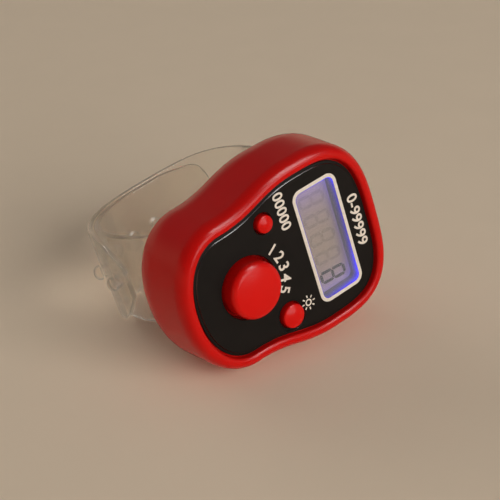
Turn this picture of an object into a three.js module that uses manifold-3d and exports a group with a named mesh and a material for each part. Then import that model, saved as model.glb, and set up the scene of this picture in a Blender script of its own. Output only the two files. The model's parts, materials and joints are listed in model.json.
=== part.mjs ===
// Finger tally counter: a pear-shaped case with three press buttons and a small display, on a clear finger band.
// Millimetres. Each piece is drawn in the case's own axes: x runs along the display, y runs from the
// count button to the display, and z comes out of the face, with zero on the face panel. At the end the
// case is stood on its long side, leaning back on its band, with +Z up.
import * as THREE from "three";
import { mergeVertices } from "three/addons/utils/BufferGeometryUtils.js";
import Module from "manifold-3d";

const wasm = await Module();
wasm.setup();

// Case outline, along the inner edge of the rim
const DISPLAY_END_Y = 18.85;
const BUTTON_END_Y = -14.7;
const UPPER_HALF_WIDTH = 12.85;
const UPPER_WIDEST_Y = 7.85;
const LOWER_HALF_WIDTH = 10.3;
const LOWER_WIDEST_Y = -7.3;
const DISPLAY_END_SQUARENESS = 3.2;
const BUTTON_END_SQUARENESS = 2.14;
const WAIST_EASE = 6.8;

// Front shell, its wall measured outwards from the outline
const CASE_DEPTH = 12.5;
const RIM_HEIGHT = 0.65;
const RIM_CREST = 0.85;
const RIM_WIDTH = 2.15;
const RIM_INNER_ROUND = 0.5;
const RIM_FALL = 3.35;
const BACK_FLARE = 0.3;
const WALL = 1.5;
const DECK = 1.3;
const BACK_ROUND = 1.75;
const BACK_FALL = 4.35;
const BACK_LIP = 0.4;
const COVER_LEDGE = 0.5;
const LEDGE_HEIGHT = 0.8;

// Face panel and its openings
const PANEL = 0.6;
const PANEL_GROOVE = 0.3;
const SEAT_GAP = 0.1;
const SLIDE_GAP = 0.25;
const WINDOW_LENGTH = 18.5;
const WINDOW_HEIGHT = 7.2;
const WINDOW_CORNER = 1;
const WINDOW_INSET = 8.3;

// Buttons
const COUNT_RADIUS = 4.5;
const COUNT_GAP = 0.45;
const COUNT_INSET = 9.72;
const COUNT_HEIGHT = 2.85;
const COUNT_EDGE_ROUND = 1.1;
const COUNT_CROWN = 0.4;
const COUNT_SKIN = 1;
const COUNT_TRAVEL = 0.4;
const SMALL_BUTTON_X = 8.2;
const SMALL_BUTTON_Y = 0.4;
const RESET_RADIUS = 1.4;
const RESET_HEIGHT = 1.15;
const LAMP_BUTTON_RADIUS = 1.95;
const LAMP_BUTTON_HEIGHT = 1.1;
const LAMP_RING_WIDTH = 0.8;
const LAMP_RING_DEPTH = 0.2;
const SMALL_TRAVEL = 0.3;
const SMALL_CROWN = 0.35;
const FLANGE = 0.55;
const FLANGE_HOLD = 0.35;
const STEM_RADIUS = 1;

// Display stack, from the deck down to the board
const LIGHT_FRAME_WALL = 1;
const GLASS = 0.7;
const GLASS_LENGTH = 20.6;
const GLASS_HEIGHT = 10;
const CONTACT_LEDGE = 1.5;
const DIFFUSER = 0.7;

// Circuit board and what it carries
const BOARD = 0.8;
const BOARD_INSET = 0.8;
const SWITCH_SIDE = 4.2;
const SWITCH_HEIGHT = 0.5;
const SWITCH_DOME = 0.15;
const SWITCH_DOME_MARGIN = 0.8;
const SMALL_SWITCH_SIDE = 2.8;
const POST_RADIUS = 1.1;
const POST_PEG_RADIUS = 0.55;
const POST_X = 4.4;
const POST_Y = 3;
const BOARD_SCREW_X = 6.3;
const BOARD_SCREW_INSET = 5.15;
const BOARD_SCREW_RADIUS = 0.5;
const BOARD_SCREW_HEAD_RADIUS = 1;
const BOARD_SCREW_HEAD = 0.5;
const BOARD_SCREW_DEPTH = 1.6;
const LAMP_LENGTH = 2;
const LAMP_WIDTH = 0.8;
const LAMP_HEIGHT = 1.4;
const CHIP_RADIUS = 1.9;
const CHIP_HEIGHT = 0.7;
const CHIP_Y = 3.1;
const SMALL_PART_LENGTH = 1.6;
const SMALL_PART_WIDTH = 0.8;
const SMALL_PART_HEIGHT = 0.5;
const SMALL_PART_INSET = 1.7;
const SMALL_PART_RISE = 2.5;

// Cells, their tray and contacts
const CELL_RADIUS = 5.8;
const CELL_HEIGHT = 3.05;
const CELL_EDGE_ROUND = 0.35;
const CELLS_MIDDLE_Y = 2.9;
const TRAY_WALL = 0.5;
const CONTACT = 0.2;
const CONTACT_WIDTH = 3;
const CONTACT_REACH = 4;

// Back cover and its screws
const COVER = 1.2;
const CASE_SCREW_RADIUS = 0.7;
const SCREW_HEAD_RADIUS = 1.35;
const SCREW_HEAD = 0.7;
const SCREW_LENGTH = 3.2;
const CROSS_WIDTH = 0.35;
const CROSS_SHOULDER = 0.4;
const BOSS_RADIUS = 1.6;
const UPPER_BOSS_INSET = 2.1;
const UPPER_BOSS_Y = 8.4;
const LOWER_BOSS_INSET = 1.8;
const LOWER_BOSS_Y = -3.9;
const RIB_WIDTH = 1;

// Finger band
const BAND_WIDTH = 16;
const BAND = 0.95;
const BAND_EDGE_ROUND = 0.3;
const BAND_GAP = 0.3;
const FOOT_WIDTH = 3;
const FOOT_INSET = 1.5;
const FOOT = 0.9;
const BAND_SLOT_GAP = 0.3;
const LOWER_SLOT_INSET = 5.25;
const UPPER_SLOT_INSET = 3.15;
const PEG_RADIUS = 0.75;
const PEG_HEAD_RADIUS = 1.25;
const PEG_HEAD_SIDE = 0.3;
const PEG_HEAD = 1;
const PEG_GAP = 0.3;
const PEGS = 2;
const SPARE_HOLES = 3;
const TAPER_LENGTH = 5;
const BAND_END_WIDTH = 6;
const TAIL_DROP = 4;
const TAIL_ROUND = 4;

// Places along the band's loop, measured from the foot by the buttons
const OUTER_END = 11.6;
const FIRST_PEG = 14;
const PEG_SPACING = 4.9;
const TAIL_PEEL = 35;
const TAIL_END = 45.5;
const TAIL_LEVEL = 47.8;

// The band's loop: each point's distance along the case from the slot that its half starts at, and
// how far it lies behind the case
const BAND_STRAIGHT = 1.2;
const BUTTON_SIDE_LOOP = [
  [0, BAND_STRAIGHT],
  [-2.3, 5.2],
  [-4, 9.2],
  [-4.5, 13.2],
  [-3.4, 16.9],
  [-0.4, 19.6],
  [4.3, 21],
  [9.5, 21.5],
];
const DISPLAY_SIDE_LOOP = [
  [-10.3, 21.7],
  [-5.3, 21.1],
  [-1.4, 18.2],
  [0.9, 13.2],
  [1, 7],
  [0, BAND_STRAIGHT],
];
const RETURN_LENGTH = 4.2;

// Facets
const OUTLINE_POINTS = 84;
const SIDE_STEPS = 40;
const CORNER_STEPS = 6;
const BUTTON_SIDES = 40;
const HOLE_SIDES = 36;
const SMALL_BUTTON_SIDES = 24;
const CELL_SIDES = 32;
const PIN_SIDES = 20;
const BAND_STEPS = 48;

// Places and heights that follow from the sizes above
const WINDOW_Y = DISPLAY_END_Y - WINDOW_INSET;
const COUNT_Y = BUTTON_END_Y + COUNT_INSET;
const LOWER_SLOT_Y = BUTTON_END_Y + LOWER_SLOT_INSET;
const UPPER_SLOT_Y = DISPLAY_END_Y - UPPER_SLOT_INSET;
const SMALL_PART_X = GLASS_LENGTH / 2 - SMALL_PART_INSET;
const SMALL_PART_Y = WINDOW_Y + SMALL_PART_RISE;
const CELL_SPACING = 2 * (CELL_RADIUS + SLIDE_GAP) + TRAY_WALL;
const DECK_TOP = -PANEL - SEAT_GAP;
const DECK_BOTTOM = DECK_TOP - DECK;
const GLASS_TOP = DECK_BOTTOM - SEAT_GAP;
const DIFFUSER_TOP = GLASS_TOP - 2 * GLASS - SEAT_GAP;
const BOARD_TOP = DIFFUSER_TOP - DIFFUSER - SEAT_GAP;
const BOARD_BOTTOM = BOARD_TOP - BOARD;
const FRONT_CONTACT_TOP = BOARD_BOTTOM - SEAT_GAP;
const CELL_TOP = FRONT_CONTACT_TOP - CONTACT - SEAT_GAP;
const CELL_BOTTOM = CELL_TOP - CELL_HEIGHT;
const BRIDGE_TOP = CELL_BOTTOM - SEAT_GAP;
const BACK = -CASE_DEPTH;
const COVER_TOP = BACK + COVER;
const RECESS_FLOOR = COVER_TOP + SEAT_GAP;
const FOOT_BOTTOM = COVER_TOP + SEAT_GAP;
const FLANGE_TOP = DECK_BOTTOM - SEAT_GAP;

// Distances outwards from the outline that follow from the sizes above
const wallInside = RIM_WIDTH - WALL;
const backFlat = RIM_WIDTH + BACK_FLARE - BACK_ROUND;
const coverRecess = backFlat - BACK_LIP;

// Materials
const finish = (color, roughness, more = {}) =>
  new THREE.MeshStandardMaterial({ color, roughness, metalness: 0, ...more });
const redPlastic = finish("#c01510", 0.25);
const blackPanel = finish("#15120f", 0.5);
const clearPlastic = finish("#f2efe8", 0.1, { transparent: true, opacity: 0.35 });
const displayGlass = finish("#8e938a", 0.15);
const lightGuide = finish("#3a43ff", 0.3);
const whitePlastic = finish("#e9e6df", 0.4);
const greyRubber = finish("#8b8b88", 0.8);
const boardGreen = finish("#1d6b3a", 0.5);
const switchBlack = finish("#22211f", 0.5);
const blackEpoxy = finish("#101010", 0.3);
const steel = finish("#c9cacb", 0.25, { metalness: 1 });
const lampClear = finish("#dfe6ff", 0.2);
const bandClear = finish("#eeeae0", 0.15, { transparent: true, opacity: 0.4 });

// Turns a closed geometry into a solid, with its shared vertices merged and the slivers at a pole dropped.
function solidOf(geometry) {
  geometry.deleteAttribute("normal");
  geometry.deleteAttribute("uv");
  const merged = mergeVertices(geometry, 1e-4);
  const corners = [];
  for (let i = 0; i < merged.index.count; i += 3) {
    const [a, b, c] = [0, 1, 2].map((k) => merged.index.getX(i + k));
    if (a !== b && b !== c && c !== a) corners.push(a, b, c);
  }
  return new wasm.Manifold(
    new wasm.Mesh({
      numProp: 3,
      vertProperties: merged.attributes.position.array,
      triVerts: new Uint32Array(corners),
    }),
  );
}

// Gives a solid back as a named mesh.
function meshOf(name, solid, material) {
  const made = solid.getMesh();
  const geometry = new THREE.BufferGeometry();
  geometry.setAttribute("position", new THREE.BufferAttribute(made.vertProperties, 3));
  geometry.setIndex(new THREE.BufferAttribute(made.triVerts, 1));
  geometry.computeVertexNormals();
  const mesh = new THREE.Mesh(geometry, material);
  mesh.name = name;
  return mesh;
}

// An upright prism of a shape, between two heights.
function prism(shape, top, bottom) {
  const geometry = new THREE.ExtrudeGeometry(shape, {
    depth: top - bottom,
    bevelEnabled: false,
    curveSegments: CORNER_STEPS,
  });
  return solidOf(geometry.translate(0, 0, bottom));
}

// An upright round bar.
function disc(x, y, radius, top, bottom, sides) {
  const geometry = new THREE.CylinderGeometry(radius, radius, top - bottom, sides);
  geometry.rotateX(Math.PI / 2).translate(x, y, (top + bottom) / 2);
  return solidOf(geometry);
}

// An upright block, given by its middle.
function block(x, y, length, width, top, bottom) {
  const geometry = new THREE.BoxGeometry(length, width, top - bottom);
  return solidOf(geometry.translate(x, y, (top + bottom) / 2));
}

// A round piece turned from a profile of radius and height pairs, which starts and ends on the axis.
function turned(profile, x, y, sides) {
  const points = profile.map(([radius, height]) => new THREE.Vector2(radius, height));
  const geometry = new THREE.LatheGeometry(points, sides);
  return solidOf(geometry.rotateX(Math.PI / 2).translate(x, y, 0));
}

// Points on an arc of an ellipse, from one angle to another in degrees.
function arc(middle, radii, from, to, steps) {
  return Array.from({ length: steps + 1 }, (_, i) => {
    const angle = THREE.MathUtils.degToRad(from + ((to - from) * i) / steps);
    return [middle[0] + radii[0] * Math.cos(angle), middle[1] + radii[1] * Math.sin(angle)];
  });
}

// A rectangle with round corners.
function roundedRectangle(middleY, length, height, corner) {
  const [x, y] = [length / 2, height / 2];
  const shape = new THREE.Shape();
  const quarter = Math.PI / 2;
  shape.absarc(x - corner, middleY + y - corner, corner, 0, quarter);
  shape.absarc(corner - x, middleY + y - corner, corner, quarter, 2 * quarter);
  shape.absarc(corner - x, middleY + corner - y, corner, 2 * quarter, 3 * quarter);
  shape.absarc(x - corner, middleY + corner - y, corner, 3 * quarter, 4 * quarter);
  return shape;
}

// The case's right side, from the display end down to the button end: a full round shoulder, a side
// that draws in to the waist, and a round button end.
function rightSide() {
  const shoulder = (t, halfWidth, y, end, squareness) =>
    new THREE.Vector2(
      halfWidth * Math.sin(t) ** (2 / squareness),
      y + (end - y) * Math.cos(t) ** (2 / squareness),
    );
  const quarter = Math.PI / 2;
  const points = [];
  for (let i = 0; i < SIDE_STEPS; i++) {
    const t = (quarter * i) / SIDE_STEPS;
    points.push(shoulder(t, UPPER_HALF_WIDTH, UPPER_WIDEST_Y, DISPLAY_END_Y, DISPLAY_END_SQUARENESS));
  }
  const waist = new THREE.CubicBezierCurve(
    new THREE.Vector2(UPPER_HALF_WIDTH, UPPER_WIDEST_Y),
    new THREE.Vector2(UPPER_HALF_WIDTH, UPPER_WIDEST_Y - WAIST_EASE),
    new THREE.Vector2(LOWER_HALF_WIDTH, LOWER_WIDEST_Y + WAIST_EASE),
    new THREE.Vector2(LOWER_HALF_WIDTH, LOWER_WIDEST_Y),
  );
  points.push(...waist.getPoints(SIDE_STEPS));
  for (let i = SIDE_STEPS - 1; i >= 0; i--) {
    const t = (quarter * i) / SIDE_STEPS;
    points.push(shoulder(t, LOWER_HALF_WIDTH, LOWER_WIDEST_Y, BUTTON_END_Y, BUTTON_END_SQUARENESS));
  }
  return points;
}

// The whole outline as evenly spaced places, anticlockwise, each with the direction that points outwards.
function caseOutline() {
  const right = rightSide();
  const left = right
    .slice(1, -1)
    .reverse()
    .map((p) => new THREE.Vector2(-p.x, p.y));
  const even = new THREE.SplineCurve([...right, ...left, right[0]]).getSpacedPoints(OUTLINE_POINTS);
  const places = even.slice(0, -1).reverse();
  return places.map((place, i) => {
    const before = places.at(i - 1);
    const after = places[(i + 1) % places.length];
    const along = after.clone().sub(before).normalize();
    return { place, outward: new THREE.Vector2(along.y, -along.x) };
  });
}

const outline = caseOutline();

// The outline moved outwards by a distance, as a shape.
function outlineShape(outwards) {
  return new THREE.Shape(
    outline.map(({ place, outward }) => place.clone().addScaledVector(outward, outwards)),
  );
}

// A wall that runs round the outline, from a closed profile of outward distance and height pairs.
function wallAround(profile) {
  const positions = outline.flatMap(({ place, outward }) =>
    profile.toReversed().flatMap(([out, height]) => [
      place.x + outward.x * out,
      place.y + outward.y * out,
      height,
    ]),
  );
  return solidOf(gridGeometry(positions, outline.length, profile.length, true));
}

// A skin over rows of points, each row a closed ring: joined end to end, or closed by a fan at each end.
function gridGeometry(positions, rows, columns, joined) {
  const faces = [];
  for (let row = 0; row < (joined ? rows : rows - 1); row++) {
    for (let column = 0; column < columns; column++) {
      const a = row * columns + column;
      const b = row * columns + ((column + 1) % columns);
      const c = ((row + 1) % rows) * columns + ((column + 1) % columns);
      const d = ((row + 1) % rows) * columns + column;
      faces.push(a, c, b, a, d, c);
    }
  }
  for (let column = 1; !joined && column < columns - 1; column++) {
    const last = (rows - 1) * columns;
    faces.push(0, column, column + 1, last, last + column + 1, last + column);
  }
  const geometry = new THREE.BufferGeometry();
  geometry.setAttribute("position", new THREE.Float32BufferAttribute(positions, 3));
  geometry.setIndex(faces);
  return geometry;
}

const mirrored = (x, y) => [
  [x, y],
  [-x, y],
];
const caseScrewPlaces = [
  ...mirrored(UPPER_HALF_WIDTH - UPPER_BOSS_INSET, UPPER_BOSS_Y),
  ...mirrored(LOWER_HALF_WIDTH - LOWER_BOSS_INSET, LOWER_BOSS_Y),
];
const boardScrewPlaces = mirrored(BOARD_SCREW_X, BUTTON_END_Y + BOARD_SCREW_INSET);
const postPlaces = mirrored(POST_X, POST_Y);

const addAll = (solid, others) => others.reduce((sum, other) => sum.add(other), solid);
const cutAll = (solid, others) => others.reduce((rest, other) => rest.subtract(other), solid);

// The three buttons, with what each needs of the panel, the deck and the board
const buttons = {
  count_button: {
    x: 0,
    y: COUNT_Y,
    radius: COUNT_RADIUS,
    gap: COUNT_GAP,
    travel: COUNT_TRAVEL,
    switchSide: SWITCH_SIDE,
  },
  reset_button: {
    x: -SMALL_BUTTON_X,
    y: SMALL_BUTTON_Y,
    radius: RESET_RADIUS,
    gap: SLIDE_GAP,
    height: RESET_HEIGHT,
    travel: SMALL_TRAVEL,
    switchSide: SMALL_SWITCH_SIDE,
  },
  lamp_button: {
    x: SMALL_BUTTON_X,
    y: SMALL_BUTTON_Y,
    radius: LAMP_BUTTON_RADIUS,
    gap: SLIDE_GAP,
    height: LAMP_BUTTON_HEIGHT,
    travel: SMALL_TRAVEL,
    switchSide: SMALL_SWITCH_SIDE,
  },
};

const buttonHole = ({ x, y, radius, gap }, top, bottom) => disc(x, y, radius + gap, top, bottom, HOLE_SIDES);
const flangeRadius = ({ radius, gap }) => radius + gap + FLANGE_HOLD;
const switchTop = BOARD_TOP + SWITCH_HEIGHT + SWITCH_DOME;
const stemEnd = ({ travel }) => switchTop + travel + SEAT_GAP;

// The shell: rim, wall and rounded back edge in one, with the deck that carries the panel.
function frontShell() {
  const rimTop = [
    ...arc([RIM_INNER_ROUND, RIM_HEIGHT - RIM_INNER_ROUND], [RIM_INNER_ROUND, RIM_INNER_ROUND], 180, 90, 3),
    ...arc([RIM_CREST, RIM_HEIGHT - RIM_FALL], [RIM_WIDTH - RIM_CREST, RIM_FALL], 90, 0, 6),
  ];
  const backEdge = arc([backFlat, BACK + BACK_FALL], [BACK_ROUND, BACK_FALL], 0, -90, 6);
  const profile = [
    [0, DECK_BOTTOM],
    ...rimTop,
    ...backEdge,
    [coverRecess, BACK],
    [coverRecess, RECESS_FLOOR],
    [coverRecess - COVER_LEDGE, RECESS_FLOOR],
    [coverRecess - COVER_LEDGE, RECESS_FLOOR + LEDGE_HEIGHT],
    [wallInside, RECESS_FLOOR + LEDGE_HEIGHT + wallInside - coverRecess + COVER_LEDGE],
    [wallInside, DECK_BOTTOM],
  ];
  const deck = prism(outlineShape(wallInside / 2), DECK_TOP, DECK_BOTTOM);
  const bosses = caseScrewPlaces.map(([x, y]) => caseBoss(x, y));
  const posts = [...postPlaces, ...boardScrewPlaces].map(([x, y]) =>
    disc(x, y, POST_RADIUS, DECK_BOTTOM + SEAT_GAP, BOARD_TOP + SEAT_GAP, PIN_SIDES),
  );
  const pegs = postPlaces.map(([x, y]) =>
    disc(x, y, POST_PEG_RADIUS, BOARD_TOP + 2 * SEAT_GAP, BOARD_BOTTOM, PIN_SIDES),
  );
  const body = addAll(wallAround(profile), [deck, ...bosses, ...posts, ...pegs]);
  const frameLength = WINDOW_LENGTH + 2 * (LIGHT_FRAME_WALL + SEAT_GAP);
  const frameHeight = WINDOW_HEIGHT + 2 * (LIGHT_FRAME_WALL + SEAT_GAP);
  const well = roundedRectangle(WINDOW_Y, frameLength, frameHeight, WINDOW_CORNER);
  const screwHoles = boardScrewPlaces.map(([x, y]) =>
    disc(
      x,
      y,
      BOARD_SCREW_RADIUS + SEAT_GAP,
      BOARD_TOP + BOARD_SCREW_DEPTH + SEAT_GAP,
      BOARD_BOTTOM,
      PIN_SIDES,
    ),
  );
  const caseHoles = caseScrewPlaces.map(([x, y]) =>
    disc(x, y, CASE_SCREW_RADIUS + SEAT_GAP, BACK + SCREW_LENGTH + SEAT_GAP, BACK, PIN_SIDES),
  );
  return cutAll(body, [
    prism(well, DECK_TOP + PANEL, DECK_BOTTOM - SEAT_GAP),
    ...Object.values(buttons).map((b) => buttonHole(b, DECK_TOP + PANEL, DECK_BOTTOM - SEAT_GAP)),
    ...screwHoles,
    ...caseHoles,
  ]);
}

// A screw boss that stands on a rib from the side wall, behind the board.
function caseBoss(x, y) {
  const top = BOARD_BOTTOM - SLIDE_GAP;
  const side = Math.sign(x);
  const wall = side * halfWidthAt(y, RIM_WIDTH - WALL / 2);
  const rib = block((x + wall) / 2, y, Math.abs(wall - x), RIB_WIDTH, top, RECESS_FLOOR);
  return disc(x, y, BOSS_RADIUS, top, RECESS_FLOOR, PIN_SIDES).add(rib);
}

// Half the case's width at a height along it, for the outline moved outwards.
function halfWidthAt(y, outwards) {
  const moved = outline.map(({ place, outward }) => place.clone().addScaledVector(outward, outwards));
  const right = moved.filter((p) => p.x > 0);
  return right.reduce((best, p) => (Math.abs(p.y - y) < Math.abs(best.y - y) ? p : best)).x;
}

function facePanel() {
  const sheet = prism(outlineShape(-PANEL_GROOVE), 0, -PANEL);
  const window = roundedRectangle(
    WINDOW_Y,
    WINDOW_LENGTH + 2 * SEAT_GAP,
    WINDOW_HEIGHT + 2 * SEAT_GAP,
    WINDOW_CORNER,
  );
  const ring = buttons.lamp_button;
  return cutAll(sheet, [
    prism(window, SEAT_GAP, -PANEL - SEAT_GAP),
    ...Object.values(buttons).map((b) => buttonHole(b, SEAT_GAP, -PANEL - SEAT_GAP)),
    disc(ring.x, ring.y, ring.radius + LAMP_RING_WIDTH, SEAT_GAP, -LAMP_RING_DEPTH, HOLE_SIDES),
  ]);
}

function displayWindow() {
  return prism(roundedRectangle(WINDOW_Y, WINDOW_LENGTH, WINDOW_HEIGHT, WINDOW_CORNER), 0, -PANEL);
}

// The frame that leads the lamp's light round the display.
function lightFrame() {
  const length = WINDOW_LENGTH + 2 * LIGHT_FRAME_WALL;
  const height = WINDOW_HEIGHT + 2 * LIGHT_FRAME_WALL;
  const outside = prism(roundedRectangle(WINDOW_Y, length, height, WINDOW_CORNER), DECK_TOP, DECK_BOTTOM);
  const inside = roundedRectangle(WINDOW_Y, WINDOW_LENGTH, WINDOW_HEIGHT, WINDOW_CORNER);
  return outside.subtract(prism(inside, DECK_TOP + SEAT_GAP, DECK_BOTTOM - SEAT_GAP));
}

// Two sheets of glass, the front one longer towards the buttons, where its contacts are.
function displayCell() {
  const front = block(0, WINDOW_Y, GLASS_LENGTH, GLASS_HEIGHT, GLASS_TOP, GLASS_TOP - GLASS);
  const rear = block(
    0,
    WINDOW_Y + CONTACT_LEDGE / 2,
    GLASS_LENGTH,
    GLASS_HEIGHT - CONTACT_LEDGE,
    GLASS_TOP - GLASS,
    GLASS_TOP - 2 * GLASS,
  );
  return front.add(rear);
}

function displayDiffuser() {
  return block(
    0,
    WINDOW_Y + CONTACT_LEDGE / 2,
    GLASS_LENGTH,
    GLASS_HEIGHT - CONTACT_LEDGE,
    DIFFUSER_TOP,
    DIFFUSER_TOP - DIFFUSER,
  );
}

// The rubber strip that joins the display's contacts to the board.
function connectorStrip() {
  const width = CONTACT_LEDGE - 2 * SLIDE_GAP;
  return block(
    0,
    WINDOW_Y - GLASS_HEIGHT / 2 + CONTACT_LEDGE / 2,
    GLASS_LENGTH - 2 * SLIDE_GAP,
    width,
    GLASS_TOP - GLASS - SEAT_GAP,
    BOARD_TOP + SEAT_GAP,
  );
}

function circuitBoard() {
  const sheet = prism(outlineShape(-BOARD_INSET), BOARD_TOP, BOARD_BOTTOM);
  const holes = [
    ...postPlaces.map(([x, y]) => [x, y, POST_PEG_RADIUS]),
    ...boardScrewPlaces.map(([x, y]) => [x, y, BOARD_SCREW_RADIUS]),
  ];
  return cutAll(
    sheet,
    holes.map(([x, y, radius]) =>
      disc(x, y, radius + SEAT_GAP, BOARD_TOP + SEAT_GAP, BOARD_BOTTOM - SEAT_GAP, PIN_SIDES),
    ),
  );
}

// A press switch under a button: a square body with its dome, drawn at the dome's pressed height.
function pressSwitch({ x, y, switchSide }) {
  const bodyTop = BOARD_TOP + SWITCH_HEIGHT;
  const body = block(x, y, switchSide, switchSide, bodyTop, BOARD_TOP + SEAT_GAP);
  return body.add(disc(x, y, switchSide / 2 - SWITCH_DOME_MARGIN, switchTop, bodyTop - SEAT_GAP, PIN_SIDES));
}

// The count button: a hollow cap with a rounded edge, a flange that holds it in and a stem over its switch.
function countButton(button) {
  const { x, y, radius } = button;
  const sideTop = COUNT_HEIGHT - COUNT_CROWN - COUNT_EDGE_ROUND;
  const inside = radius - COUNT_SKIN;
  const profile = [
    [0, stemEnd(button)],
    [STEM_RADIUS, stemEnd(button)],
    [STEM_RADIUS, sideTop - COUNT_SKIN],
    [inside, sideTop - COUNT_SKIN],
    [inside, FLANGE_TOP - FLANGE],
    [flangeRadius(button), FLANGE_TOP - FLANGE],
    [flangeRadius(button), FLANGE_TOP],
    [radius, FLANGE_TOP],
    ...arc([radius - COUNT_EDGE_ROUND, sideTop], [COUNT_EDGE_ROUND, COUNT_EDGE_ROUND], 0, 84, 4),
    ...crown(radius - COUNT_EDGE_ROUND, COUNT_HEIGHT - COUNT_CROWN, COUNT_CROWN, 3),
  ];
  return turned(profile, x, y, BUTTON_SIDES);
}

// The small buttons: solid pins with a crowned top.
function smallButton(button) {
  const { x, y, radius, height } = button;
  const profile = [
    [0, stemEnd(button)],
    [STEM_RADIUS, stemEnd(button)],
    [STEM_RADIUS, FLANGE_TOP - FLANGE],
    [flangeRadius(button), FLANGE_TOP - FLANGE],
    [flangeRadius(button), FLANGE_TOP],
    [radius, FLANGE_TOP],
    ...arc([radius - SMALL_CROWN, height - 2 * SMALL_CROWN], [SMALL_CROWN, SMALL_CROWN], 0, 80, 3),
    ...crown(radius - SMALL_CROWN, height - SMALL_CROWN, SMALL_CROWN, 2),
  ];
  return turned(profile, x, y, SMALL_BUTTON_SIDES);
}

// The shallow dome on a button's top, from its edge to the axis.
function crown(radius, height, rise, steps) {
  return Array.from({ length: steps }, (_, i) => {
    const share = (i + 1) / steps;
    return [radius * (1 - share), height + rise * (1 - (1 - share) ** 2)];
  });
}

const blueLamp = () =>
  block(
    GLASS_LENGTH / 2 + SLIDE_GAP + LAMP_WIDTH / 2,
    WINDOW_Y + LAMP_LENGTH / 2,
    LAMP_WIDTH,
    LAMP_LENGTH,
    BOARD_TOP + LAMP_HEIGHT,
    BOARD_TOP + SEAT_GAP,
  );

// The chip's cap: a low dome of epoxy on the board's front, between the posts.
function chipCap() {
  const base = BOARD_TOP + SEAT_GAP;
  const profile = [
    [0, base],
    ...arc([0, base], [CHIP_RADIUS, CHIP_HEIGHT], 0, 75, 3),
    [0, base + CHIP_HEIGHT],
  ];
  return turned(profile, 0, CHIP_Y, PIN_SIDES);
}

const boardPart = (x, y) =>
  block(
    x,
    y,
    SMALL_PART_LENGTH,
    SMALL_PART_WIDTH,
    BOARD_BOTTOM - SEAT_GAP,
    BOARD_BOTTOM - SEAT_GAP - SMALL_PART_HEIGHT,
  );

const upperCellY = CELLS_MIDDLE_Y + CELL_SPACING / 2;
const lowerCellY = CELLS_MIDDLE_Y - CELL_SPACING / 2;

function buttonCell(y) {
  const round = [CELL_EDGE_ROUND, CELL_EDGE_ROUND];
  const edge = CELL_RADIUS - CELL_EDGE_ROUND;
  const profile = [
    [0, CELL_BOTTOM],
    ...arc([edge, CELL_BOTTOM + CELL_EDGE_ROUND], round, -90, 0, 2),
    ...arc([edge, CELL_TOP - CELL_EDGE_ROUND], round, 0, 90, 2),
    [0, CELL_TOP],
  ];
  return turned(profile, 0, y, CELL_SIDES);
}

// The tray that holds both cells, open at the front and the back.
function cellTray() {
  const bore = CELL_RADIUS + SLIDE_GAP;
  const outside = [upperCellY, lowerCellY].map((y) =>
    disc(0, y, bore + TRAY_WALL, FRONT_CONTACT_TOP, CELL_BOTTOM, HOLE_SIDES),
  );
  const bores = [upperCellY, lowerCellY].map((y) =>
    disc(0, y, bore, FRONT_CONTACT_TOP + SEAT_GAP, CELL_BOTTOM - SEAT_GAP, HOLE_SIDES),
  );
  return cutAll(outside[0].add(outside[1]), bores);
}

const frontContact = (y) =>
  block(0, y, CONTACT_WIDTH, 2 * CONTACT_REACH, FRONT_CONTACT_TOP, FRONT_CONTACT_TOP - CONTACT);

const bridgeContact = () =>
  block(0, CELLS_MIDDLE_Y, CONTACT_WIDTH, CELL_SPACING + CONTACT_REACH, BRIDGE_TOP, BRIDGE_TOP - CONTACT);

// The back cover, with a slot for each half of the band and a sunk hole for each screw.
function backCover() {
  const sheet = prism(outlineShape(coverRecess - SEAT_GAP), COVER_TOP, BACK);
  const slots = [LOWER_SLOT_Y, UPPER_SLOT_Y].map((y) =>
    block(
      0,
      y,
      BAND_WIDTH + 2 * BAND_SLOT_GAP,
      BAND + 2 * BAND_SLOT_GAP,
      COVER_TOP + SEAT_GAP,
      BACK - SEAT_GAP,
    ),
  );
  const holes = caseScrewPlaces.map(([x, y]) => screwSink(x, y));
  return cutAll(sheet, [...slots, ...holes]);
}

// What a sunk screw takes out of the cover.
function screwSink(x, y) {
  const hole = CASE_SCREW_RADIUS + SEAT_GAP;
  const mouth = SCREW_HEAD_RADIUS + SEAT_GAP;
  const profile = [
    [0, BACK - SEAT_GAP],
    [mouth, BACK - SEAT_GAP],
    [mouth, BACK + SEAT_GAP],
    [hole, BACK + SEAT_GAP + mouth - hole],
    [hole, COVER_TOP + SEAT_GAP],
    [0, COVER_TOP + SEAT_GAP],
  ];
  return turned(profile, x, y, PIN_SIDES);
}

// A sunk-head screw with a cross recess, its head flush with the cover.
function caseScrew(x, y) {
  const flush = BACK + SEAT_GAP / 2;
  const profile = [
    [0, flush],
    [SCREW_HEAD_RADIUS, flush],
    [SCREW_HEAD_RADIUS, flush + SEAT_GAP / 2],
    [CASE_SCREW_RADIUS, flush + SCREW_HEAD],
    [CASE_SCREW_RADIUS, BACK + SCREW_LENGTH - CASE_SCREW_RADIUS],
    [0, BACK + SCREW_LENGTH],
  ];
  return crossed(turned(profile, x, y, PIN_SIDES), x, y, flush, SCREW_HEAD_RADIUS, SCREW_HEAD / 2);
}

// A cheese-head screw through the board into its post.
function boardScrew(x, y) {
  const seat = BOARD_BOTTOM - SEAT_GAP;
  const face = seat - BOARD_SCREW_HEAD;
  const profile = [
    [0, face],
    [BOARD_SCREW_HEAD_RADIUS, face],
    [BOARD_SCREW_HEAD_RADIUS, seat],
    [BOARD_SCREW_RADIUS, seat],
    [BOARD_SCREW_RADIUS, BOARD_TOP + BOARD_SCREW_DEPTH - BOARD_SCREW_RADIUS],
    [0, BOARD_TOP + BOARD_SCREW_DEPTH],
  ];
  const solid = turned(profile, x, y, PIN_SIDES);
  return crossed(solid, x, y, face, BOARD_SCREW_HEAD_RADIUS, BOARD_SCREW_HEAD / 2);
}

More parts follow.
